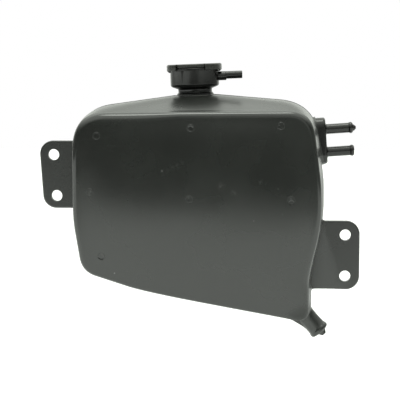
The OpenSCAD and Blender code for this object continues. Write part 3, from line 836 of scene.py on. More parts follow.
def soften(made: bpy.types.Object, centre: Sequence[float], reach: float, near: float, passes: int) -> None:
    """Smooths the hollow where two joined forms meet, so that they flow together.

    Args:
        made: The object.
        centre: The middle of the region, in millimetres.
        reach: The region's radius in millimetres.
        near: How far from the hollow edges the surface moves, in millimetres.
        passes: How often it is smoothed.
    """
    # The signed angle past which an edge is hollow, and the share of the way that a point moves in one pass
    crease, pull = -0.35, 0.6
    work = bmesh.new()
    work.from_mesh(made.data)
    middle = Vector(centre) * MM
    hollow = [e for e in work.edges if len(e.link_faces) == 2 and e.calc_face_angle_signed(0.0) < crease
              and (e.verts[0].co - middle).length < reach * MM]
    spine = [(e.verts[0].co + e.verts[1].co) / 2 for e in hollow]
    weights: dict[bmesh.types.BMVert, float] = {}
    for vert in work.verts:
        if spine and (vert.co - middle).length < (reach + near) * MM:
            gap = min((vert.co - p).length for p in spine)
            if gap < near * MM:
                weights[vert] = 1.0 - gap / (near * MM)
    for _ in range(passes):
        moved = {}
        for vert, weight in weights.items():
            around = [e.other_vert(vert).co for e in vert.link_edges]
            mean = sum(around, Vector()) / len(around)
            moved[vert] = vert.co.lerp(mean, pull * weight)
        for vert, place in moved.items():
            vert.co = place
    work.to_mesh(made.data)
    work.free()


def dress(made: bpy.types.Object, finish: Finishes, body: str,
          node: Optional[str] = None) -> bpy.types.Object:
    """Gives a finished piece its material, its body and the CAD node that it stands for.

    Args:
        made: The piece.
        finish: Its finish.
        body: The CAD body that it rides on.
        node: The CAD node that it replaces, or None.

    Returns:
        The piece.
    """
    made.data.materials.clear()
    made.data.materials.append(finish.value.material())
    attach(made, body)
    if node is not None:
        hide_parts(node)
    LOG.info("%s: %d faces, rides on %s, stands for %s", made.name, len(made.data.polygons), body, node)
    return made


# Tank


class Stage(Enum):
    """The parts of the blown form that its rings lie on."""

    FACE = "face"
    EDGE = "edge"
    SIDE = "side"
    SEAM = "seam"


@dataclass
class TankForm:
    """The blown form: a smooth outline that grows from the face's edge to the parting line."""

    width: float = 263.5
    depth: float = 150.0
    wall: float = 3.8
    draft: float = 3.9
    left_draft: float = 0.93
    edge: float = 4.6
    soft_edge: float = 10.0
    bulge: float = 2.4
    right: float = -23.8
    top_left: float = 156.5
    crown_top: float = 174.3
    crown_place: float = 126.0
    top_right: float = 163.9
    face_top: float = 157.0
    face_top_rise: float = 2.3
    shoulder_lean: float = 9.9
    shoulder_height: float = 78.0
    bay_depth: float = 12.1
    bay_top: float = 37.0
    bay_floor: float = -12.0
    base_right: float = -64.2
    base_left: float = -13.0
    heel_inset: float = 9.0
    knee_height: float = 45.0
    base_bow: float = 6.7
    bow_share: float = 0.28
    top_left_run: float = 73.0
    top_right_run: float = 52.0
    top_right_extra: float = 24.0
    base_left_run: float = 29.5
    base_right_run: float = 30.0
    seam_rise: float = 0.5
    seam_width: float = 1.6
    # Where the face's edge grows softer: up and across at the top left, down, across and up at the low right
    soft_left: tuple[Point2, Point2] = ((105.0, 150.0), (-130.0, -225.0))
    soft_right: tuple[Point2, Point2, Point2] = ((60.0, -20.0), (-150.0, -60.0), (-50.0, -10.0))
    soft_top: Point2 = (115.0, 150.0)
    right_share: float = 0.6
    top_share: float = 0.4
    # How sharply the face's bulge ends at its sides, and how close to its rim
    side_power: int = 4
    rim_power: int = 12
    # Rings on the face, steps of its edge and of the side, and how they crowd towards the edge
    face_shares: tuple[float, ...] = (0.04, 0.1, 0.17, 0.25, 0.33, 0.41, 0.49, 0.57, 0.65, 0.72, 0.79, 0.85,
                                      0.9, 0.94, 0.97, 0.99)
    edge_steps: int = 12
    side_steps: int = 22
    side_crowd: float = 1.4
    curve_steps: int = 22
    # The rings that are smoothed across the end of the face's edge, and how often
    eased_rings: tuple[int, int] = (23, 36)
    ease_passes: int = 4

    def controls(self, grow: float) -> list[Vector]:
        """Returns the outline's control points.

        Args:
            grow: 0 at the face's edge and 1 at the parting line.

        Returns:
            The points, anticlockwise from the bottom left.
        """
        inset = self.draft * (1 - grow)
        left, right = self.right - self.width + inset * self.left_draft, self.right - inset
        bay = self.right - self.bay_depth - inset
        heel = Vector((left + self.heel_inset, self.base_left + inset))
        toe = Vector((bay, self.base_right + inset))
        bow = heel.lerp(toe, self.bow_share)
        half_rise = self.face_top_rise / 2
        corners = [
            (heel.x, heel.y, self.base_left_run),
            (bow.x, bow.y - self.base_bow, 0.0),
            (toe.x, toe.y, self.base_right_run),
            (bay, self.bay_floor, 0.0),
            (right, self.bay_top, 0.0),
            (right, self.shoulder_height, 0.0),
            (right - self.shoulder_lean, mix(self.face_top + half_rise, self.top_right, grow),
             self.top_right_run + self.top_right_extra * grow),
            (self.right - self.width + self.crown_place, mix(self.face_top, self.crown_top, grow), 0.0),
            (left, mix(self.face_top - half_rise, self.top_left, grow), self.top_left_run),
            (left, self.knee_height, 0.0),
        ]
        points: list[Vector] = []
        for i, (x, z, run) in enumerate(corners):
            here = Vector((x, z))
            if run:
                before = (Vector(corners[i - 1][:2]) - here).normalized()
                after = (Vector(corners[(i + 1) % len(corners)][:2]) - here).normalized()
                points += [here + before * run, here, here + after * run]
            else:
                points.append(here)
        return points

    def section(self, grow: float) -> list[tuple[Vector, Vector]]:
        """Returns the smooth outline at one growth.

        Args:
            grow: 0 at the face's edge and 1 at the parting line.

        Returns:
            The outline's points, each with the way inwards from it.
        """
        knots = self.controls(grow)
        n = len(knots)
        line: list[Vector] = []
        for i, here in enumerate(knots):
            a, b = (here + knots[i - 1]) / 2, (here + knots[(i + 1) % n]) / 2
            for k in range(self.curve_steps):
                t = k / self.curve_steps
                line.append(a * (1 - t) ** 2 + here * 2 * t * (1 - t) + b * t ** 2)
        count = len(line)
        moved = []
        for i, here in enumerate(line):
            along = (line[(i + 1) % count] - line[i - 1]).normalized()
            moved.append((here, Vector((-along.y, along.x))))
        return moved

    def edge_radius(self, here: Vector) -> float:
        """Works out the radius of the face's edge, which is wider along the top and at two of the corners.

        Args:
            here: The point of the outline beside it.

        Returns:
            The radius.
        """
        (left_up, left_across), (right_down, right_across, right_up) = self.soft_left, self.soft_right
        top_left = rise(here.y, *left_up) * rise(here.x, *left_across)
        low_right = rise(here.y, *right_down) * rise(here.x, *right_across) * rise(here.y, *right_up)
        top = rise(here.y, *self.soft_top) * self.top_share
        return mix(self.edge, self.soft_edge, max(top, top_left, low_right * self.right_share))

    def dome(self, x: float, z: float, middle: Vector, reach: float) -> float:
        """Returns how far the face stands out at a point, as a share of its bulge.

        Args:
            x: Across.
            z: Up.
            middle: The face's middle.
            reach: Half the face's width.

        Returns:
            The share, from 0 to 1.
        """
        base = mix(self.base_left, self.base_right, (x - self.right + self.width) / self.width)
        half = (self.face_top - base) / 2
        tallest = (self.face_top - self.base_right) / 2
        off = z - (self.face_top + base) / 2
        across = min(1.0, abs(x - middle.x) / reach)
        return max(0.0, (half ** 2 - off ** 2) / tallest ** 2) * (1 - across ** self.side_power)

    def ring(self, stage: "Stage", t: float, side: int, skin: float) -> list[Vector]:
        """Returns one ring of the form.

        Args:
            stage: The part of the form that the ring is on.
            t: Where on that part, from 0 to 1.
            side: -1 on the front half and 1 on the rear half.
            skin: How far the form is shrunk, 0 for the outside.

        Returns:
            The ring's points.
        """
        half, seam = self.depth / 2 - skin, self.seam_width / 2
        grow = {Stage.SIDE: 1 - mix(1.0, seam / half, t) ** 2, Stage.SEAM: 1.0}.get(stage, 0.0)
        flat: list[tuple[Vector, float]] = []
        for here, inwards in self.section(grow):
            radius = max(self.edge_radius(here) - skin, self.wall / 2)
            turn = math.radians(90.0 * t)
            inset, distance = {
                Stage.FACE: (radius, half),
                Stage.EDGE: (radius * (1 - math.sin(turn)), half - radius * (1 - math.cos(turn))),
                Stage.SIDE: (0.0, mix(half - radius, seam, t)),
                Stage.SEAM: (-self.seam_rise, seam / 2),
            }[stage]
            flat.append((here + inwards * (skin + inset), distance))
        if stage is Stage.FACE:
            middle, reach = self.middle([p for p, _ in flat])
            for i, (here, distance) in enumerate(flat):
                here = middle.lerp(here, t)
                lift = self.bulge * self.dome(here.x, here.y, middle, reach) * (1 - t ** self.rim_power)
                flat[i] = (here, distance + lift)
        return [Vector((p.x, PARTING_Y + side * distance, p.y)) for p, distance in flat]

    @staticmethod
    def middle(outline: Sequence[Vector]) -> tuple[Vector, float]:
        """Returns the middle of an outline's box and half its width."""
        xs, zs = [p.x for p in outline], [p.y for p in outline]
        return Vector(((min(xs) + max(xs)) / 2, (min(zs) + max(zs)) / 2)), (max(xs) - min(xs)) / 2

    def stages(self) -> list[tuple["Stage", float]]:
        """Lists where the rings of one half lie, from the middle of the face to the seam.

        Returns:
            The part of the form and the place on it, for each ring.
        """
        places = [(Stage.FACE, t) for t in self.face_shares]
        places += [(Stage.EDGE, k / self.edge_steps) for k in range(self.edge_steps + 1)]
        steps = range(1, self.side_steps + 1)
        return places + [(Stage.SIDE, (k / self.side_steps) ** self.side_crowd) for k in steps]

    def solid(self, name: str, skin: float) -> bpy.types.Object:
        """Builds the form.

        Args:
            name: The object's name.
            skin: How far the form is shrunk, 0 for the outside.

        Returns:
            The object.
        """
        rings = self.eased([self.ring(stage, t, -1, skin) for stage, t in self.stages()])
        ridge = [self.ring(Stage.SEAM, 0.0, side, skin) for side in SIDES] if skin == 0 else []
        back = [[Vector((p.x, 2 * PARTING_Y - p.y, p.z)) for p in ring] for ring in reversed(rings)]
        front_tip = sum(rings[0], Vector()) / len(rings[0])
        back_tip = Vector((front_tip.x, 2 * PARTING_Y - front_tip.y, front_tip.z))
        return Shape.loft(rings + ridge + back, [front_tip, back_tip]).build(name)

    def eased(self, rings: list[list[Vector]]) -> list[list[Vector]]:
        """Rounds the crease where the face's edge meets the sides, by smoothing across the rings.

        Args:
            rings: The rings of one half.

        Returns:
            The smoothed rings.
        """
        for _ in range(self.ease_passes):
            fresh = list(rings)
            for j in range(*self.eased_rings):
                fresh[j] = [(a + 2 * b + c) / 4 for a, b, c in zip(rings[j - 1], rings[j], rings[j + 1])]
            rings = fresh
        return rings


@dataclass
class Bracket:
    """A flat plate moulded on one side of the tank, with two bolt holes."""

    name: str
    corners: tuple[Corner2, ...]
    holes: tuple[Point2, ...]
    thick: float = 6.0
    edge: float = 1.4
    edge_steps: int = 4
    corner_steps: int = 14
    lap: float = 0.5
    hole_radius: float = 6.0
    hole_flare: float = 0.25

    def plate(self) -> bpy.types.Object:
        """Makes the plate with rounded edges.

        Returns:
            The plate.
        """
        outline = [Vector(p) for p in rounded(self.corners, self.corner_steps)]
        n = len(outline)
        soft = quarter_round(self.edge, self.edge_steps)
        inside = self.edge + self.lap
        levels = [(-self.thick, inside)] + [(-self.thick + up, inset) for up, inset in soft]
        levels += [(-up, inset) for up, inset in reversed(soft)] + [(0.0, inside)]
        rings = []
        for y, inset in levels:
            ring = []
            for i, here in enumerate(outline):
                along = (outline[(i + 1) % n] - outline[i - 1]).normalized()
                ring.append(Vector((here.x - inset * along.y, y, here.y + inset * along.x)))
            rings.append(ring)
        return Shape.loft(rings).build(self.name)

    def cutters(self) -> list[bpy.types.Object]:
        """Makes the bolt holes as solids, with a small flare at both faces.

        Returns:
            One solid for each hole.
        """
        r, wide = self.hole_radius, self.hole_radius + self.hole_flare + PAST
        profile = [(0.0, -PAST), (wide, -PAST), (r, self.hole_flare), (r, self.thick - self.hole_flare),
                   (wide, self.thick + PAST), (0.0, self.thick + PAST)]
        shape = Shape.lathe(profile, TUBE_STEPS)
        return [shape.build("bolt_hole", Placement((x, 0.0, z), pitch=90.0)) for x, z in self.holes]


@dataclass
class BracketPair:
    """Where the two brackets stand on the sides of the tank's form, measured from the right bolt holes."""

    form: TankForm
    hole_half: float = 22.3
    corner: float = 14.5
    root_corner: float = 4.0
    root_inset: float = 1.6
    root_reach: float = 8.0
    right_middle: float = 0.4
    right_half: float = 37.2
    right_edge: float = 15.4
    left_middle: float = 86.0
    left_half: float = 36.6
    left_edge: float = -328.3
    left_holes: Point2 = (-313.3, 85.2)
    left_lean: float = 3.8

    def right(self) -> Bracket:
        """Lays out the right bracket.

        Returns:
            The bracket.
        """
        form, edge, corner, soft = self.form, self.right_edge, self.corner, self.root_corner
        low, high = self.right_middle - self.right_half, self.right_middle + self.right_half
        under, over = low - self.root_reach, high + self.root_reach
        wall_low = form.right - form.bay_depth - self.root_inset
        climb = (form.bay_top - high) / (form.bay_top - form.bay_floor)
        wall_high = form.right - form.bay_depth * climb - self.root_inset
        inside = wall_low - form.wall
        return Bracket("right_bracket", (
            (inside, under, 0.0), (wall_low, under, 0.0), (wall_low, low, soft), (edge, low, corner),
            (edge, high, corner), (wall_high, high, soft), (wall_high, over, 0.0), (inside, over, 0.0),
        ), ((0.0, -self.hole_half), (0.0, self.hole_half)))

    def left(self) -> Bracket:
        """Lays out the left bracket, whose outer edge and holes lean.

        Returns:
            The bracket.
        """
        edge, corner, soft = self.left_edge, self.corner, self.root_corner
        angle = math.radians(self.left_lean)
        low, high = self.left_middle - self.left_half, self.left_middle + self.left_half
        under, over = low - self.root_reach, high + self.root_reach
        lean = math.tan(angle) * self.left_half
        root = self.form.right - self.form.width + self.root_inset
        inside = root + self.form.wall
        across, up = self.hole_half * math.sin(angle), self.hole_half * math.cos(angle)
        x, z = self.left_holes
        return Bracket("left_bracket", (
            (edge + lean, low, corner), (root, low, soft), (root, under, 0.0), (inside, under, 0.0),
            (inside, over, 0.0), (root, over, 0.0), (root, high, soft), (edge - lean, high, corner),
        ), ((x + across, z - up), (x - across, z + up)))


@dataclass
class Outlet:
    """The sloping outlet tube on the lower right corner, with its bead and the lug on its end."""

    radius: float = 10.1
    bore: float = 7.25
    bore_flare: float = 0.5
    bore_over: float = 0.1
    bore_into: float = 8.0
    length: float = 32.0
    bead: float = 0.9
    lip: float = 1.2
    land: float = 2.2
    swell: float = 5.0
    swell_reach: float = 4.0
    swell_gain: float = 1.5
    swell_steps: int = 14
    lug: float = 3.8
    lug_start: float = 232.0
    lug_angle: float = 46.0
    lug_layers: int = 4
    lug_low: float = 0.35
    lug_flank: float = 10.0
    lug_step: float = 4.0
    lug_inset: float = 0.2
    lug_thin: float = 0.1
    lug_edge: float = 0.6

    def tube(self) -> list[bpy.types.Object]:
        """Makes the tube with its swelling root, and the lug.

        Returns:
            The tube, then the layers of the lug.
        """
        r, b, lip, root = self.radius, self.radius + self.bead, self.lip, -self.length - self.swell
        profile = rounded([
            (0.0, 0.0, 0.0),
            (r - lip, 0.0, 0.4),
            (b - lip / 4, -lip, 0.8),
            (b, -2 * lip, 0.8),
            (b, -2 * lip - self.land, 0.8),
            (r, -3 * lip - self.land, 0.8),
        ], 6)
        for k in range(self.swell_steps + 1):
            out = k / self.swell_steps
            height = mix(-self.length + self.swell + self.swell_reach, root, out)
            profile.append((r + self.swell * self.swell_gain * out ** 2, height))
        profile.append((0.0, root))
        return [Shape.lathe(profile).build("outlet_tube", AT_SPIGOT)] + self.lug_layered()

    def lug_layered(self) -> list[bpy.types.Object]:
        """Makes the lug on the tube's end in layers, each higher and narrower than the last.

        Returns:
            The layers.
        """
        rim, inset = self.radius - self.lip, self.lug_inset
        pieces = []
        for k in range(self.lug_layers):
            thin, narrow = self.lug_thin * k, self.lug_step * k
            top = self.lug * (self.lug_low + (1 - self.lug_low) * k / (self.lug_layers - 1))
            ledge = rounded([
                (self.bore + inset + thin, -PAST, 0.0),
                (rim + inset - thin, -PAST, 0.0),
                (rim - inset - thin, top, self.lug_edge),
                (self.bore + inset + self.lug_thin + thin, top, self.lug_edge),
            ], 3)
            angle = self.lug_angle + 2 * (self.lug_flank - narrow)
            shape = Shape.lathe(ledge, ROUND_STEPS, self.lug_start - self.lug_flank + narrow, angle)
            pieces.append(shape.build("outlet_lug", AT_SPIGOT))
        return pieces

    def channel(self) -> bpy.types.Object:
        """Makes the bore as a solid, flared a little at the end.

        Returns:
            The solid.
        """
        low, flare, over = -self.length - self.swell - self.bore_into, self.bore_flare, self.bore_over
        wide = self.bore + flare
        profile = [(0.0, low), (self.bore, low), (self.bore, -flare), (wide, 0.0), (wide, over), (0.0, over)]
        return Shape.lathe(profile).build("outlet_bore", AT_SPIGOT)


@dataclass
class Tank:
    """The blow-moulded tank: form, brackets, outlet and pads in one piece."""

    vents: "VentManifold"
    form: TankForm = field(default_factory=TankForm)
    outlet: Outlet = field(default_factory=Outlet)
    pad_radius: float = 20.8
    pad_flare: float = 1.2
    pad_depth: float = 9.0
    throat: float = 17.0
    port_depth: float = 22.0
    port_over: float = 2.0

    def pads(self) -> list[bpy.types.Object]:
        """Makes the round pad under the neck and the oval pad under the vents.

        Returns:
            Both pads.
        """
        r, flare, deep = self.pad_radius, self.pad_flare, self.pad_depth
        neck = Shape.lathe(rounded([
            (0.0, -deep, 0.0),
            (r + flare, -deep, 0.0),
            (r + flare, -2 * flare, 1.2),
            (r, -flare / 2, 0.8),
            (r - flare / 2, 0.0, 0.4),
            (0.0, 0.0, 0.0),
        ], 4)).build("neck_pad", AT_NECK)
        oval = oval_outline(self.vents.length + 2 * flare, self.vents.width + 2 * flare)
        vent = Shape.prism(oval, -deep, 0.0).build("vent_pad", AT_VENT_SEAT)
        return [neck, vent]

    def ports(self) -> list[bpy.types.Object]:
        """Makes the openings under the neck and under both barbs as solids.

        Returns:
            The solids.
        """
        throat = Shape.lathe(band(0.0, self.throat, -self.pad_depth - PAST, PAST))
        bore = Shape.lathe(band(0.0, self.vents.bore, -self.port_depth, self.port_over), BORE_STEPS)
        return [throat.build("throat_hole", AT_NECK)] + [
            bore.moved(side * self.vents.spacing / 2).build("vent_hole", AT_MANIFOLD) for side in SIDES]

    def build(self) -> list[bpy.types.Object]:
        """Builds and dresses the tank, and the rings on its face.

        Returns:
            The tank and the rings.
        """
        shell = self.form.solid("tank_shell", 0.0)
        pair = BracketPair(self.form)
        brackets = [pair.right(), pair.left()]
        added = [b.plate() for b in brackets] + self.pads() + self.outlet.tube()
        joined(shell, added, Join.ADD)
        hollow = self.form.solid("tank_hollow", self.form.wall)
        holes = [hole for b in brackets for hole in b.cutters()]
        joined(shell, [hollow, self.outlet.channel()] + holes + self.ports(), Join.CUT)
        soften(shell, centre=(-47.0, PARTING_Y, -60.0), reach=34.0, near=9.0, passes=24)
        shade(shell)
        return [dress(shell, Finishes.TANK, "tank", "tank_body"), WitnessRings().build(shell)]


def oval_outline(length: float, width: float, steps: int = 36) -> list[Point2]:
    """Returns an outline with two straight sides and two half round ends.

    Args:
        length: The longer way across.
        width: The shorter way across.
        steps: Steps in each half round.

    Returns:
        The outline's points, anticlockwise.
    """
    r, reach = width / 2, (length - width) / 2
    points: list[Point2] = []
    for side, start in ((1, -90.0), (-1, 90.0)):
        for k in range(steps + 1):
            turn = math.radians(start + 180.0 * k / steps)
            points.append((side * reach + r * math.cos(turn), r * math.sin(turn)))
    return points


# Repeated pieces

# Steps round a coil and round a ring, and the sides of the wire and of the ring's line
COIL_STEPS = 40
RING_STEPS = 40
WIRE_SIDES = 14
LINE_SIDES = 8


class Tree:
    """A geometry tree with named inputs, for what repeats or follows a path."""

    def __init__(self, name: str, inputs: dict[str, float]) -> None:
        """Makes an empty tree.

        Args:
            name: The tree's name.
            inputs: Its number inputs and their usual values.
        """
        self.tree = bpy.data.node_groups.new(name, "GeometryNodeTree")
        self.names: dict[str, str] = {}
        self.tree.interface.new_socket("Geometry", in_out="OUTPUT", socket_type="NodeSocketGeometry")
        self.add_input("Geometry", "NodeSocketGeometry")
        for label, value in inputs.items():
            self.add_input(label, "NodeSocketFloat").default_value = value
        self.add_input("Material", "NodeSocketMaterial")
        self.start = self.tree.nodes.new("NodeGroupInput")

    def add_input(self, label: str, kind: str) -> bpy.types.NodeTreeInterfaceSocket:
        """Adds one named input and remembers its identifier.

        Args:
            label: The input's name.
            kind: The type of its socket.

        Returns:
            The input.
        """
        made = self.tree.interface.new_socket(label, in_out="INPUT", socket_type=kind)
        self.names[label] = made.identifier
        return made

    def given(self, label: str) -> bpy.types.NodeSocket:
        """Returns the output of the group's input node with this name."""
        return self.start.outputs[label]

    def node(self, kind: str, inputs: dict[Key, object], **options: object) -> bpy.types.Node:
        """Adds a node, sets its options, and links or sets its inputs.

        Args:
            kind: The node's type name.
            inputs: A socket or a value for each input.
            options: Properties of the node.

        Returns:
            The node.
        """
        made = self.tree.nodes.new(kind)
        for name, value in options.items():
            setattr(made, name, value)
        for key, value in inputs.items():
            if isinstance(value, bpy.types.NodeSocket):
                self.tree.links.new(value, made.inputs[key])
            else:
                made.inputs[key].default_value = value
        return made

    def math(self, operation: str, a: object, b: object) -> bpy.types.NodeSocket:
        """Returns the result of a Math node."""
        return self.node("ShaderNodeMath", {0: a, 1: b}, operation=operation).outputs[0]

    def finish(self, geometry: bpy.types.NodeSocket) -> None:
        """Ends the tree: smooth shading, real geometry and its material.

        Args:
            geometry: What the tree has made.
        """
        smooth = self.node("GeometryNodeSetShadeSmooth", {"Geometry": geometry})
        real = self.node("GeometryNodeRealizeInstances", {"Geometry": smooth.outputs[0]})
        painted = self.node("GeometryNodeSetMaterial", {
            "Geometry": real.outputs[0], "Material": self.given("Material")})
        end = self.tree.nodes.new("NodeGroupOutput")
        self.tree.links.new(painted.outputs[0], end.inputs[0])

    def grow(self, name: str, base: bpy.types.Mesh, values: dict[str, object]) -> bpy.types.Object:
        """Runs the tree on a base mesh and keeps the plain mesh that results.

        Args:
            name: The new object's name.
            base: The mesh that the tree starts from.
            values: A value for each input that differs from its usual one.

        Returns:
            The object, without its modifier.
        """
        made = bpy.data.objects.new(name, base)
        bpy.context.scene.collection.objects.link(made)
        step = made.modifiers.new("pieces", "NODES")
        step.node_group = self.tree
        for label, value in values.items():
            step[self.names[label]] = value
        flatten(made)
        return made


@dataclass
class CoilSpring:
    """A wire coiled between two heights of the neck's frame, its end coils closed flat."""

    name: str
    node: str
    body: str
    joint: str
    radius: float
    wire: float
    low: float
    high: float
    turns: float
    travel: float
    anchor_high: bool

    @staticmethod
    def tree() -> Tree:
        """Makes the tree that winds a coil from its named sizes.

        Returns:
            The tree.
        """
        tree = Tree("wound_coil", {
            "Radius": 10.0, "Wire": 1.5, "Low": 0.0, "High": 10.0, "Turns": 5.0, "Closed": 0.5})
        path = tree.node("GeometryNodeCurveSpiral", {
            "Resolution": COIL_STEPS, "Rotations": tree.given("Turns"), "Start Radius": tree.given("Radius"),
            "End Radius": tree.given("Radius"), "Height": 0.0})
        along = tree.node("GeometryNodeSplineParameter", {}).outputs["Factor"]
        closed = tree.math("DIVIDE", tree.given("Closed"), tree.given("Turns"))
        half = tree.math("MULTIPLY", tree.given("Wire"), 0.5)
        height = tree.node("ShaderNodeMapRange", {
            "Value": along, "From Min": closed, "From Max": tree.math("SUBTRACT", 1.0, closed),
            "To Min": tree.math("ADD", tree.given("Low"), half),
            "To Max": tree.math("SUBTRACT", tree.given("High"), half)})
        place = tree.node("GeometryNodeInputPosition", {}).outputs[0]
        here = tree.node("ShaderNodeSeparateXYZ", {0: place})
        there = tree.node("ShaderNodeCombineXYZ", {
            0: here.outputs[0], 1: here.outputs[1], 2: height.outputs[0]})
        placed = tree.node("GeometryNodeSetPosition", {
            "Geometry": path.outputs[0], "Position": there.outputs[0]})
        round_wire = tree.node("GeometryNodeCurvePrimitiveCircle", {"Resolution": WIRE_SIDES, "Radius": half})
        solid = tree.node("GeometryNodeCurveToMesh", {
            "Curve": placed.outputs[0], "Profile Curve": round_wire.outputs[0], "Fill Caps": True})
        tree.finish(solid.outputs[0])
        return tree

    def build(self, tree: Tree) -> bpy.types.Object:
        """Winds the spring, places it and dresses it.

        Args:
            tree: The coil tree, shared by both springs.

        Returns:
            The dressed spring.
        """
        made = tree.grow(self.name, bpy.data.meshes.new(self.name), {
            "Radius": self.radius, "Wire": self.wire, "Low": self.low, "High": self.high, "Turns": self.turns,
            "Material": Finishes.SPRING.value.material()})
        made.data.transform(Matrix.Scale(MM, 4) @ AT_NECK.matrix())
        dress(made, Finishes.SPRING, self.body, self.node)
        keep = 1 - self.travel / (self.high - self.low)
        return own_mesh(made)


@dataclass
class WitnessRings:
    """Thin raised rings that the mould's vents leave on the front face."""

    places: tuple[Point2, ...] = ((-257.8, 132.1), (-161.5, 140.3), (-69.7, 142.6), (-265.5, 74.3),
                                  (-162.8, 67.6), (-58.7, 67.4), (-253.7, 7.3))
    radius: float = 3.6
    line: float = 0.75
    sunk: float = 0.2
    ray_from: float = -400.0

    @staticmethod
    def tree() -> Tree:
        """Makes the tree that lays a ring on each point, facing along the point's stored direction.

        Returns:
            The tree.
        """
        tree = Tree("witness_rings", {"Radius": 4.0, "Line": 0.5})
        circle = tree.node("GeometryNodeCurvePrimitiveCircle", {
            "Resolution": RING_STEPS, "Radius": tree.given("Radius")})
        profile = tree.node("GeometryNodeCurvePrimitiveCircle", {
            "Resolution": LINE_SIDES, "Radius": tree.math("MULTIPLY", tree.given("Line"), 0.5)})
        ring = tree.node("GeometryNodeCurveToMesh", {
            "Curve": circle.outputs[0], "Profile Curve": profile.outputs[0]})
        facing = tree.node("GeometryNodeInputNamedAttribute", {"Name": "facing"}, data_type="FLOAT_VECTOR")
        turned = tree.node("FunctionNodeAlignRotationToVector", {"Vector": facing.outputs[0]}, axis="Z")
        copies = tree.node("GeometryNodeInstanceOnPoints", {
            "Points": tree.given("Geometry"), "Instance": ring.outputs[0], "Rotation": turned.outputs[0]})
        tree.finish(copies.outputs[0])
        return tree

    def build(self, shell: bpy.types.Object) -> bpy.types.Object:
        """Lays the rings on the shell's front face and dresses them.

        Args:
            shell: The tank's shell, at the origin and in metres.

        Returns:
            The dressed rings.
        """
        spots, facings = [], []
        for x, z in self.places:
            start = Vector((x, self.ray_from, z)) * MM
            hit, where, normal, _ = shell.ray_cast(start, Vector((0.0, 1.0, 0.0)))
            if hit:
                spots.append(where - normal * self.line * self.sunk * MM)
                facings.append(normal)
        base = bpy.data.meshes.new("witness_rings")
        base.from_pydata([p / MM for p in spots], [], [])
        facing = base.attributes.new("facing", "FLOAT_VECTOR", "POINT")
        facing.data.foreach_set("vector", [c for n in facings for c in n])
        made = self.tree().grow("witness_rings", base, {
            "Radius": self.radius, "Line": self.line, "Material": Finishes.TANK.value.material()})
        made.data.transform(Matrix.Scale(MM, 4))
        return dress(made, Finishes.TANK, "tank")


# Neck and vents


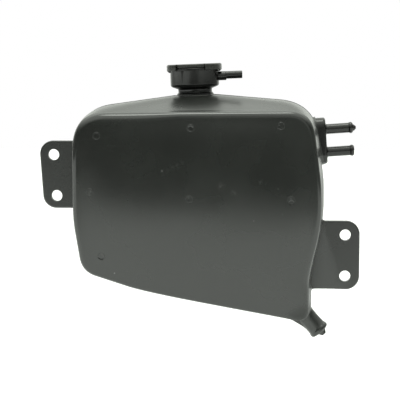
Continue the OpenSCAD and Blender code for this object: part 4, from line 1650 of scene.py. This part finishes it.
@dataclass
class FillerNeck:
    """The neck on the roof: mouth, cam flange, valve seat and overflow nipple."""

    height: float = 28.0
    throat: float = 14.5
    foot: float = 19.6
    foot_thick: float = 1.6
    foot_round: float = 0.8
    waist: float = 18.1
    waist_height: float = 6.0
    cone: float = 1.8
    barrel: float = 26.0
    barrel_round: float = 3.0
    barrel_bend: float = 0.3
    flange: float = 27.6
    flange_thick: float = 2.4
    mouth: float = 22.0
    seat_depth: float = 17.4
    seat_bead: float = 0.5
    bead_inset: float = 1.8
    nipple: float = 4.05
    nipple_bore: float = 2.6
    nipple_reach: float = 51.0
    nipple_z: float = 19.35
    bore_into: float = 2.0
    root: float = 4.8
    root_z: float = 18.7
    root_end: float = 34.0
    tang_spread: float = 16.0
    notch_gap: float = 3.0
    notch_inset: float = 0.2
    cam_gap: float = 2.0
    cam_lap: float = 1.0
    cam_steps: int = 3
    cam_thin: float = 0.15
    ramp_rise: float = 0.4
    stop_gap: float = 1.5
    stop_angle: float = 5.0
    stop_drop: float = 1.6
    stop_lap: float = 0.4
    stop_outset: float = 0.6

    def body(self) -> bpy.types.Object:
        """Turns the body of the neck.

        Returns:
            The body.
        """
        seat, top = self.height - self.seat_depth, self.height
        bead = self.throat + self.bead_inset
        base = self.waist_height + self.cone
        bend = self.barrel_round * self.barrel_bend
        profile = rounded([
            (self.throat, 0.0, 0.2),
            (self.foot, 0.0, 0.2),
            (self.foot, self.foot_thick - self.foot_round, 0.4),
            (self.foot - self.foot_round, self.foot_thick, 0.5),
            (self.waist, self.foot_thick + self.foot_round, 1.2),
            (self.waist, self.waist_height, 1.2),
            (self.barrel - self.barrel_round, base, 1.4),
            (self.barrel - bend, base + bend, 1.4),
            (self.barrel, base + self.barrel_round, 1.4),
            (self.barrel, top - self.flange_thick, 0.5),
            (self.flange, top - self.flange_thick, 0.3),
            (self.flange, top, 0.7),
            (self.mouth, top, 0.7),
            (self.mouth, seat, 0.8),
            (bead + self.seat_bead, seat, 0.2),
            (bead + self.seat_bead / 2, seat + self.seat_bead, 0.2),
            (bead - self.seat_bead / 2, seat + self.seat_bead, 0.2),
            (bead - self.seat_bead, seat, 0.2),
            (self.throat, seat, 0.5),
        ], 5)
        return Shape.lathe(profile, RIM_STEPS).build("neck_turned", AT_NECK)

    def cams(self) -> list[bpy.types.Object]:
        """Makes the cams under both halves of the flange: steps that thicken, then a stop.

        Returns:
            The steps and the stops.
        """
        low, thin = self.height - self.flange_thick, self.cam_thin
        first = self.tang_spread + self.notch_gap + self.cam_gap
        last = 90 + self.tang_spread + self.stop_gap
        stop = band(self.barrel - self.stop_lap, self.flange - self.stop_outset, low - self.stop_drop,
                    low + self.stop_lap)
        pieces = []
        for half in HALF_TURNS:
            here = AT_CAP.turned(half)
            for k in range(1, self.cam_steps + 1):
                start, end = mix(first, last, (k - 1) / self.cam_steps), last + k
                step = band(self.barrel - self.cam_lap + thin * k, self.flange - thin * k,
                            low - self.ramp_rise * k / self.cam_steps, low + self.cam_lap - thin * k)
                pieces.append(Shape.lathe(step, RIM_STEPS, -end, end - start).build("cam", here))
            shape = Shape.lathe(stop, RIM_STEPS, -last - self.stop_angle, self.stop_angle)
            pieces.append(shape.build("cam_stop", here))
        return pieces

    def nipple_parts(self) -> list[bpy.types.Object]:
        """Makes the overflow nipple's tube and its thick root.

        Returns:
            The tube and the root.
        """
        inside = (self.mouth + self.barrel) / 2
        pieces = []
        for name, radius, reach, edge, height in (
                ("nipple_tube", self.nipple, self.nipple_reach, 0.7, self.nipple_z),
                ("nipple_root", self.root, self.root_end, 0.9, self.root_z)):
            profile = rounded([(0.0, inside, 0.0), (radius, inside, 0.0), (radius, reach, edge),
                               (0.0, reach, 0.0)], 5)
            pieces.append(Shape.lathe(profile, TUBE_STEPS).build(name, self.sideways(height)))
        return pieces

    def sideways(self, height: float) -> Placement:
        """Returns a frame on the neck's axis at a height, whose Z points along the nipple."""
        origin = AT_NECK.matrix() @ Vector((0.0, 0.0, height))
        return Placement(tuple(origin), AT_NECK.tilt + 90.0)

    def cutters(self) -> list[bpy.types.Object]:
        """Makes the nipple's bore and the two notches that the tangs drop through, as solids.

        Returns:
            The solids.
        """
        bore = band(0.0, self.nipple_bore, self.mouth - self.bore_into, self.nipple_reach + PAST)
        notch = band(self.barrel - self.notch_inset, self.flange + PAST,
                     self.height - self.flange_thick - PAST, self.height + PAST)
        half = self.tang_spread + self.notch_gap
        pieces = [Shape.lathe(bore, BORE_STEPS).build("nipple_bore", self.sideways(self.nipple_z))]
        for turn in HALF_TURNS:
            pieces.append(Shape.lathe(notch, RIM_STEPS, -half, 2 * half).build("notch", AT_CAP.turned(turn)))
        return pieces

    def build(self) -> bpy.types.Object:
        """Builds and dresses the neck.

        Returns:
            The neck.
        """
        neck = joined(self.body(), self.cams() + self.nipple_parts(), Join.ADD)
        joined(neck, self.cutters(), Join.CUT)
        shade(neck)
        return dress(neck, Finishes.NECK, "tank", "filler_neck")


@dataclass
class VentManifold:
    """The glossy oval boss on the right side, with its two beaded hose barbs."""

    length: float = 49.6
    width: float = 20.0
    levels: tuple[float, ...] = (-30.0, -12.0, -6.0, -3.0)
    edge: float = 2.4
    edge_steps: int = 5
    cut_reach: float = 80.0
    cut_depth: float = 60.0
    spacing: float = 24.3
    tube: float = 5.3
    bore: float = 3.5
    bore_into: float = 40.0
    reach: float = 28.8
    bead: float = 0.7
    slope: float = 1.6
    land: float = 1.4
    tip: float = 1.6
    root: float = 1.8
    root_height: float = 0.6
    lug: float = 3.0
    lug_start: float = 247.0
    lug_angle: float = 46.0
    lug_layers: int = 3
    lug_low: float = 0.4
    lug_rise: float = 0.3
    lug_flank: float = 24.0
    lug_step: float = 12.0
    lug_thin: float = 0.2

    def boss(self) -> bpy.types.Object:
        """Makes the oval boss with a rounded front edge, cut off at its seat.

        Returns:
            The boss.
        """
        steps = [(0.0, level) for level in self.levels]
        steps += [(inset, -drop) for inset, drop in quarter_round(self.edge, self.edge_steps)]
        rings = []
        for inset, depth in steps:
            outline = oval_outline(self.length - 2 * inset, self.width - 2 * inset)
            rings.append([Vector((x, y, depth)) for x, y in outline])
        boss = Shape.loft(rings).build("vent_boss", AT_MANIFOLD)
        reach = self.cut_reach
        block = Shape.prism(band(-reach, reach, -reach, reach), -self.cut_depth, 0.0)
        return joined(boss, [block.build("seat_cut", AT_VENT_SEAT)], Join.CUT)

    def barb(self, side: int) -> bpy.types.Object:
        """Makes one barb with its root fillet and end bead.

        Args:
            side: Which of the two it is, -1 or 1.

        Returns:
            The barb.
        """
        r, bead, shoulder = self.tube, self.tube + self.bead, self.reach - self.tip
        profile = rounded([
            (0.0, -PAST, 0.0),
            (r + self.root, -PAST, 0.0),
            (r + self.root, 0.0, 0.0),
            (r, self.root_height, 1.8),
            (r, shoulder - self.land - self.slope, 0.8),
            (bead, shoulder - self.land, 0.5),
            (bead, shoulder, 0.5),
            (r, self.reach - self.bead, 0.6),
            (r - self.bead, self.reach, 0.5),
            (0.0, self.reach, 0.0),
        ], 5)
        return Shape.lathe(profile, BARB_STEPS).moved(side * self.spacing / 2).build("barb", AT_MANIFOLD)

    def lug_layered(self) -> list[bpy.types.Object]:
        """Makes the lug on the upper barb's end in layers, each higher and narrower than the last.

        Returns:
            The layers.
        """
        inner, outer = self.bore - PAST, self.tube - self.bead
        pieces = []
        for k in range(self.lug_layers):
            top = self.lug * (self.lug_low + self.lug_rise * k)
            ledge = [(inner, -PAST), (outer, -PAST), (outer - self.lug_thin * k, top), (inner, top)]
            start = self.lug_start - self.lug_flank + self.lug_step * k
            angle = self.lug_angle + 2 * self.lug_flank - 2 * self.lug_step * k
            shape = Shape.lathe(ledge, BARB_STEPS, start, angle).moved(-self.spacing / 2, self.reach)
            pieces.append(shape.build("barb_lug", AT_MANIFOLD))
        return pieces

    def build(self) -> bpy.types.Object:
        """Builds and dresses the manifold.

        Returns:
            The manifold.
        """
        added = [self.barb(side) for side in SIDES] + self.lug_layered()
        boss = joined(self.boss(), added, Join.ADD)
        bore = Shape.lathe(band(0.0, self.bore, -self.bore_into, self.reach + PAST), BORE_STEPS)
        bores = [bore.moved(side * self.spacing / 2).build("barb_bore", AT_MANIFOLD) for side in SIDES]
        joined(boss, bores, Join.CUT)
        shade(boss)
        return dress(boss, Finishes.NECK, "tank", "vent_manifold")


# Cap


@dataclass(frozen=True)
class TurnedPiece:
    """One turned piece of the valve stack, as a profile in the neck's frame, with holes or windows."""

    name: str
    node: str
    body: str
    finish: Finishes
    profile: tuple[Corner2, ...]
    holes: tuple[Shape, ...] = ()

    def build(self) -> bpy.types.Object:
        """Turns the piece, cuts its holes and dresses it.

        Returns:
            The piece.
        """
        made = Shape.lathe(rounded(self.profile, 4)).build(self.name, AT_NECK)
        if self.holes:
            joined(made, [hole.build("hole", AT_NECK) for hole in self.holes], Join.CUT)
        shade(made)
        return dress(made, self.finish, self.body, self.node)


@dataclass
class ValveStack:
    """What hangs under the cover: rivet, diaphragm, seals, bell, both valves and their springs.

    Heights are in the neck's frame. The cover gives the hub and the top of its dish, and the neck the seat.
    """

    hub: float
    dish_top: float
    seat: float
    sheet: float = 0.8
    play: float = 0.05
    rivet: float = 4.2
    shank: float = 2.4
    rivet_dome: float = 1.2
    rivet_bend: Point2 = (0.3, 0.4)
    rivet_ends: Point2 = (3.4, 3.0)
    disc: float = 25.6
    disc_thick: float = 0.4
    seal: float = 22.6
    seal_thick: float = 1.0
    bell: float = 13.2
    bell_top: float = 29.2
    bell_height: float = 11.0
    bell_flange: float = 14.6
    windows: int = 4
    window_angle: float = 40.0
    plate: float = 17.8
    plate_bore: float = 1.58
    plate_thick: float = 1.0
    plate_hub: float = 3.4
    plate_hub_height: float = 1.8
    cage_gap: float = 0.4
    lip_gap: float = 0.8
    gasket: float = 14.7
    gasket_thick: float = 1.5
    gasket_gap: float = 0.2
    vents: int = 4
    vent: float = 1.1
    vent_circle: float = 4.8
    valve: float = 6.5
    valve_edge: float = 6.0
    valve_thick: float = 1.4
    valve_gap: float = 0.2
    stem: float = 1.5
    stem_tip: Point2 = (2.1, 1.8)
    stem_head: float = 1.3
    washer: float = 3.6
    washer_thick: float = 0.7
    valve_travel: float = 2.0
    spring_room: float = 1.8
    washer_room: float = 0.8

    @property
    def bell_base(self) -> float:
        """Returns the height of the bell's lower edge."""
        return self.bell_top - self.bell_height

    @property
    def foot(self) -> float:
        """Returns the height of the valve gasket's underside."""
        return self.seat + self.gasket_gap

    @property
    def plate_low(self) -> float:
        """Returns the height of the pressure plate's underside."""
        return self.foot + self.gasket_thick

    @property
    def plate_top(self) -> float:
        """Returns the height of the pressure plate's upper side."""
        return self.foot + (self.gasket_thick + self.plate_thick)

    def hung(self) -> list[TurnedPiece]:
        """Lays out what hangs fixed under the cover: rivet, diaphragm, mouth seal and bell.

        Returns:
            The pieces, from the top down.
        """
        t, dome = self.sheet, self.rivet_dome
        head, tail = self.dish_top + self.play, self.bell_top - t
        (bend_low, bend_high), (end_low, end_high) = self.rivet_bend, self.rivet_ends
        r, shank, disc, seal, hub = self.rivet, self.shank, self.disc, self.seal, self.hub
        top, base, bell, flange = self.bell_top, self.bell_base, self.bell, self.bell_flange
        thick, under = top + self.disc_thick, top - self.seal_thick
        opening = band(bell - 2 * t, bell + t, base + 2 * t, top - 3 * t)
        windows = tuple(Shape.lathe(opening, ROUND_STEPS, 360.0 / self.windows * k, self.window_angle)
                        for k in range(self.windows))
        return [
            TurnedPiece("rivet", "cap_rivet", "cap_core", Finishes.RIVET, (
                (0.0, tail - dome, 0.0), (end_low, tail - dome, 1.0), (r, tail - bend_low, 0.4),
                (r, tail, 0.1), (shank, tail, 0.1), (shank, head, 0.1), (r, head, 0.1),
                (r, head + bend_high, 0.4), (end_high, head + dome, 1.0), (0.0, head + dome, 0.0))),
            TurnedPiece("diaphragm", "cap_diaphragm", "cap_core", Finishes.SPRING, (
                (hub, top, 0.05), (disc, top, 0.1), (disc, thick, 0.1), (hub, thick, 0.05))),
            TurnedPiece("mouth_seal", "cap_gasket", "cap_core", Finishes.RUBBER, (
                (seal, under, 0.3), (disc, under, 0.3), (disc, top, 0.3), (seal, top, 0.3))),
            TurnedPiece("bell", "spring_bell", "cap_core", Finishes.PLATED, (
                (hub, top - t, 0.1), (bell - t, top - t, 0.5), (bell - t, base, 0.2), (flange, base, 0.2),
                (flange, base + t, 0.2), (bell, base + t, 0.4), (bell, top, 1.0), (hub, top, 0.1)), windows),
        ]

    def valves(self) -> list[TurnedPiece]:
        """Lays out the moving pieces: pressure plate with its seal, and vacuum valve with its washer.

        Returns:
            The pieces, from the top down.
        """
        t, bore, plate, hub = self.sheet, self.plate_bore, self.plate, self.plate_hub
        foot, low, top = self.foot, self.plate_low, self.plate_top
        lip, hub_top = self.bell_base + t + self.lip_gap, top + self.plate_hub_height
        wall, inside = self.bell_flange + self.cage_gap, self.bell + self.cage_gap
        gasket, gasket_top = self.gasket, foot + self.gasket_thick
        face, disc, valve = low - self.valve_gap, self.valve_thick, self.valve
        stem, (tip_wide, tip_narrow), washer = self.stem, self.stem_tip, self.washer
        retainer = hub_top + self.valve_travel + self.spring_room + self.washer_room
        washer_top, end = retainer + self.washer_thick, retainer + self.stem_head
        hole = Shape.lathe(band(0.0, self.vent, low - PAST, top + PAST), VENT_STEPS)
        vents = []
        for k in range(self.vents):
            turn = math.radians(360.0 / self.vents * k)
            across, along = self.vent_circle * math.cos(turn), self.vent_circle * math.sin(turn)
            vents.append(Shape([p + Vector((across, along, 0.0)) for p in hole.points], hole.faces))
        return [
            TurnedPiece("valve_plate", "pressure_plate", "pressure_valve", Finishes.PLATED, (
                (bore, low, 0.1), (plate, low, 0.3), (plate, top, 0.3), (wall + t, top, 0.3),
                (wall + t, lip + t, 0.3), (inside, lip + t, 0.2), (inside, lip, 0.2), (wall, lip, 0.3),
                (wall, top, 0.3), (hub, top, 0.3), (hub, hub_top, 0.4), (bore, hub_top, 0.1)), tuple(vents)),
            TurnedPiece("seat_seal", "valve_gasket", "pressure_valve", Finishes.RUBBER, (
                (gasket, foot, 0.3), (plate, foot, 0.4), (plate, gasket_top, 0.2),
                (gasket, gasket_top, 0.2))),
            TurnedPiece("vacuum_stem", "vacuum_valve", "vacuum_valve_set", Finishes.BRASS, (
                (0.0, face - disc, 0.0), (self.valve_edge, face - disc, 0.3),
                (valve, face - disc * 2 / 3, 0.3), (valve, face, 0.2), (stem, face, 0.3),
                (stem, washer_top, 0.1), (tip_wide, washer_top, 0.1), (tip_narrow, end, 0.1),
                (0.0, end, 0.0))),
            TurnedPiece("stem_washer", "vacuum_retainer", "vacuum_valve_set", Finishes.BRASS, (
                (stem, retainer, 0.05), (washer, retainer, 0.2), (washer, washer_top, 0.2),
                (stem, washer_top, 0.05))),
        ]

    def build(self) -> None:
        """Builds and dresses the turned pieces and both springs."""
        for piece in self.hung() + self.valves():
            piece.build()
        tree = CoilSpring.tree()
        CoilSpring("pressure_coil", "pressure_spring", "cap_core", "pressure_valve_lift", radius=11.26,
                   wire=1.8, low=13.85, high=28.35, turns=4.5, travel=4.0, anchor_high=True).build(tree)
        CoilSpring("vacuum_coil", "vacuum_spring", "pressure_valve", "vacuum_valve_drop", radius=1.95,
                   wire=0.45, low=15.65, high=20.15, turns=4.0, travel=self.valve_travel,
                   anchor_high=False).build(tree)


@dataclass
class PressureCap:
    """The pressure cap: its pressed cover, and the valve stack that hangs under it."""

    neck: FillerNeck
    top: float = 32.4
    sheet: float = 1.1
    bend: float = 1.8
    bend_slack: float = 0.3
    dish: float = 29.65
    dish_radius: float = 9.0
    hub: float = 2.48
    skirt: float = 27.2
    skirt_depth: float = 3.6
    ear: float = 29.4
    ear_spread: float = 57.0
    ear_wall: float = 6.6
    ear_depth: float = 8.6
    tang_reach: float = 3.0
    tang_slope: float = 2.2

    def cover(self) -> bpy.types.Object:
        """Builds and dresses the cover with its skirt, ears and tangs.

        Returns:
            The cover.
        """
        t, top, skirt, ear, foot = self.sheet, self.top, self.skirt, self.ear, self.top - self.ear_depth
        ear_low, skirt_low = top - self.ear_wall, top - self.skirt_depth
        inner = self.bend - t + self.bend_slack
        disc = rounded([
            (self.hub, self.dish, 0.2),
            (self.dish_radius, self.dish, 0.6),
            (self.dish_radius + t, top - t, 0.6),
            (skirt - t, top - t, inner),
            (skirt - t, skirt_low, 0.3),
            (skirt, skirt_low, 0.3),
            (skirt, top, self.bend),
            (self.dish_radius + t / 2, top, 1.2),
            (self.dish_radius - t / 2, self.dish + t, 1.2),
            (self.hub, self.dish + t, 0.2),
        ], 6)
        cover = Shape.lathe(disc, RIM_STEPS).build("cap_cover_shell", AT_CAP)
        ear_profile = rounded([
            (skirt - self.bend, top - t, 0.0),
            (ear - t, top - t, inner),
            (ear - t, ear_low, 0.2),
            (ear, ear_low, 0.3),
            (ear, top, self.bend),
            (skirt - self.bend, top, 0.0),
        ], 6)
        tang_profile = rounded([
            (ear - t, ear_low + t, 0.0),
            (ear - t, foot + t, 0.4),
            (ear - self.tang_reach, foot + t, 0.2),
            (ear - self.tang_reach, foot, 0.2),
            (ear - self.tang_slope, foot, 0.4),
            (ear, foot + self.tang_slope, 0.6),
            (ear, ear_low + t, 0.0),
        ], 4)
        added = []
        for half in HALF_TURNS:
            for name, profile, spread in (("ear", ear_profile, self.ear_spread),
                                          ("tang", tang_profile, self.neck.tang_spread)):
                shape = Shape.lathe(profile, RIM_STEPS, -spread, 2 * spread)
                added.append(shape.build(name, AT_CAP.turned(half)))
        joined(cover, added, Join.ADD)
        shade(cover)
        return dress(cover, Finishes.CAP, "cap_cover", "cap_shell")

    def build(self) -> None:
        """Builds the cover, and the valve stack on the neck's seat."""
        self.cover()
        seat = self.neck.height - self.neck.seat_depth + self.neck.seat_bead
        ValveStack(self.hub, self.dish + self.sheet, seat).build()


# Studio


@dataclass(frozen=True)
class Glow:
    """A soft-edged patch of light in the surroundings.

    Each side names an axis of the view's direction, and where on it the light starts and where it is full.
    """

    strength: float
    sides: tuple[tuple[str, float, float], ...]

    def wire(self, graph: Graph, way: Wire) -> Wire:
        """Wires the patch.

        Args:
            graph: The world's tree.
            way: The direction that is looked in.

        Returns:
            How bright it is there.
        """
        level: Term = self.strength
        for axis, start, full in self.sides:
            level = graph.ramp(graph.axis(way, axis), start, full) * level
        return level


@dataclass
class Studio:
    """Floor, surroundings and camera.

    The object mirrors only a pool of the floor: it starts in front, on a curve, and grows weak at the back.
    """

    camera_at: Point3 = (-71.41, -1392.73, 205.19)
    looks_at: Point3 = (-156.41, -3.0, 58.85)
    lens: float = 116.7
    sensor: float = 36.0
    floor_z: float = -350.0
    floor_reach: float = 7.0
    floor_glow: float = 0.35
    floor_tint: Colour = (0.94, 1.0, 0.98)
    floor_shadow: float = 0.3
    fibre_scale: float = 300.0
    fibre_greys: Point2 = (0.78, 0.82)
    pool_curve: float = 0.4
    pool_front: Point2 = (-3.9, -2.9)
    pool_back: Point2 = (0.5, 2.0)
    pool_weak: float = 0.45
    shine_left: Point2 = (-1.0, -0.35)
    shine_gain: float = 1.5
    unseen_grey: float = 0.02
    tint: Colour = (0.955, 1.0, 0.925)
    gloom: float = 0.1
    overhead: float = 1.5
    overhead_z: Point2 = (0.3, 0.8)
    behind: Glow = Glow(0.55, (("Y", 0.1, 0.7), ("Z", 0.0, 0.2)))
    around: Glow = Glow(0.14, (("Y", -0.7, -0.3), ("Z", 0.3, 0.1)))
    glare: Glow = Glow(0.95, (("Y", 0.6, 0.9), ("Z", 0.27, 0.14)))
    front: Glow = Glow(0.6, (("Y", -0.8, -0.95), ("Z", 0.01, 0.09), ("X", -0.2, 0.0)))
    lamp: float = 6.0
    lamp_at: Point3 = (-0.04, -0.06, 1.0)
    lamp_edge: Point2 = (0.08, 0.3)

    def camera(self) -> None:
        """Adds the camera at the photograph's viewing angle."""
        data = bpy.data.cameras.new("camera")
        data.lens, data.sensor_width = self.lens, self.sensor
        made = bpy.data.objects.new("camera", data)
        made.location = Vector(self.camera_at) * MM
        way = Vector(self.looks_at) - Vector(self.camera_at)
        made.rotation_euler = way.to_track_quat("-Z", "Y").to_euler()
        bpy.context.scene.collection.objects.link(made)
        bpy.context.scene.camera = made

    def floor(self) -> None:
        """Adds the pale floor, white to the camera, that keeps the object's shadow."""
        reach = self.floor_reach / MM
        corners = [Vector((x, y, self.floor_z)) for x, y in band(-reach, reach, -reach, reach)]
        made = Shape(corners, [(0, 1, 2, 3)]).build("floor")
        material = bpy.data.materials.new("floor_paper")
        graph = Graph(material)
        seen = graph.node("ShaderNodeLightPath", {}, "Is Camera Ray")
        mirrored = graph.node("ShaderNodeLightPath", {}, "Is Glossy Ray")
        at = graph.place()
        x, y = graph.axis(at, "X"), graph.axis(at, "Y")
        near = graph.ramp(y + x * x * self.pool_curve, *self.pool_front)
        outside = (1.0 - near * graph.ramp(y, *self.pool_back, 1.0, self.pool_weak)) * mirrored
        fibre = graph.blend(graph.noise(at, self.fibre_scale, detail=3.0), *map(grey, self.fibre_greys))
        shine = graph.blend(graph.ramp(x, *self.shine_left),
                            rgba(self.floor_tint, self.floor_glow * self.shine_gain),
                            rgba(self.floor_tint, self.floor_glow))
        glow = graph.blend(mirrored, graph.blend(seen, grey(0.0), grey(self.floor_shadow)), shine)
        graph.surface({
            "Base Color": graph.blend(outside, fibre, grey(self.unseen_grey)),
            "Roughness": 0.9,
            "Specular IOR Level": 0.1,
            "Emission Color": graph.blend(outside, glow, grey(0.0)),
            "Emission Strength": 1.0,
        })
        made.data.materials.append(material)

    def surroundings(self) -> None:
        """Sets the world: white to the camera, bright overhead and behind, dimmer at the sides and front."""
        world = bpy.data.worlds.new("studio")
        bpy.context.scene.world = world
        graph = Graph(world)
        way = graph.node("ShaderNodeTexCoord", {}, "Generated")
        off = graph.vector("DISTANCE", way, self.lamp_at, "Value")
        lamp = graph.ramp(off, *self.lamp_edge, self.lamp, 0.0)
        level = graph.ramp(graph.axis(way, "Z"), *self.overhead_z, self.gloom, self.overhead) + lamp
        for patch in (self.behind, self.around, self.glare, self.front):
            level = level + patch.wire(graph, way)
        seen = graph.node("ShaderNodeLightPath", {}, "Is Camera Ray")
        seen = seen.highest(graph.node("ShaderNodeLightPath", {}, "Is Transmission Ray"))
        strength = graph.between(seen, level, 1.0)
        colour = graph.blend(seen, rgba(self.tint), grey(1.0))
        shader = graph.node("ShaderNodeBackground", {"Color": colour, "Strength": strength})
        graph.node_out("ShaderNodeOutputWorld", shader)

    def build(self) -> None:
        """Adds everything that isn't part of the object."""
        scene = bpy.context.scene
        scene.view_settings.view_transform = "Standard"
        self.camera()
        self.floor()
        self.surroundings()


def main() -> None:
    """Builds the pieces and the studio, and reports each piece."""
    logging.basicConfig(level=logging.INFO, format="%(message)s")
    vents, neck = VentManifold(), FillerNeck()
    Tank(vents).build()
    neck.build()
    vents.build()
    PressureCap(neck).build()
    Studio().build()


if __name__ == "__main__":
    main()
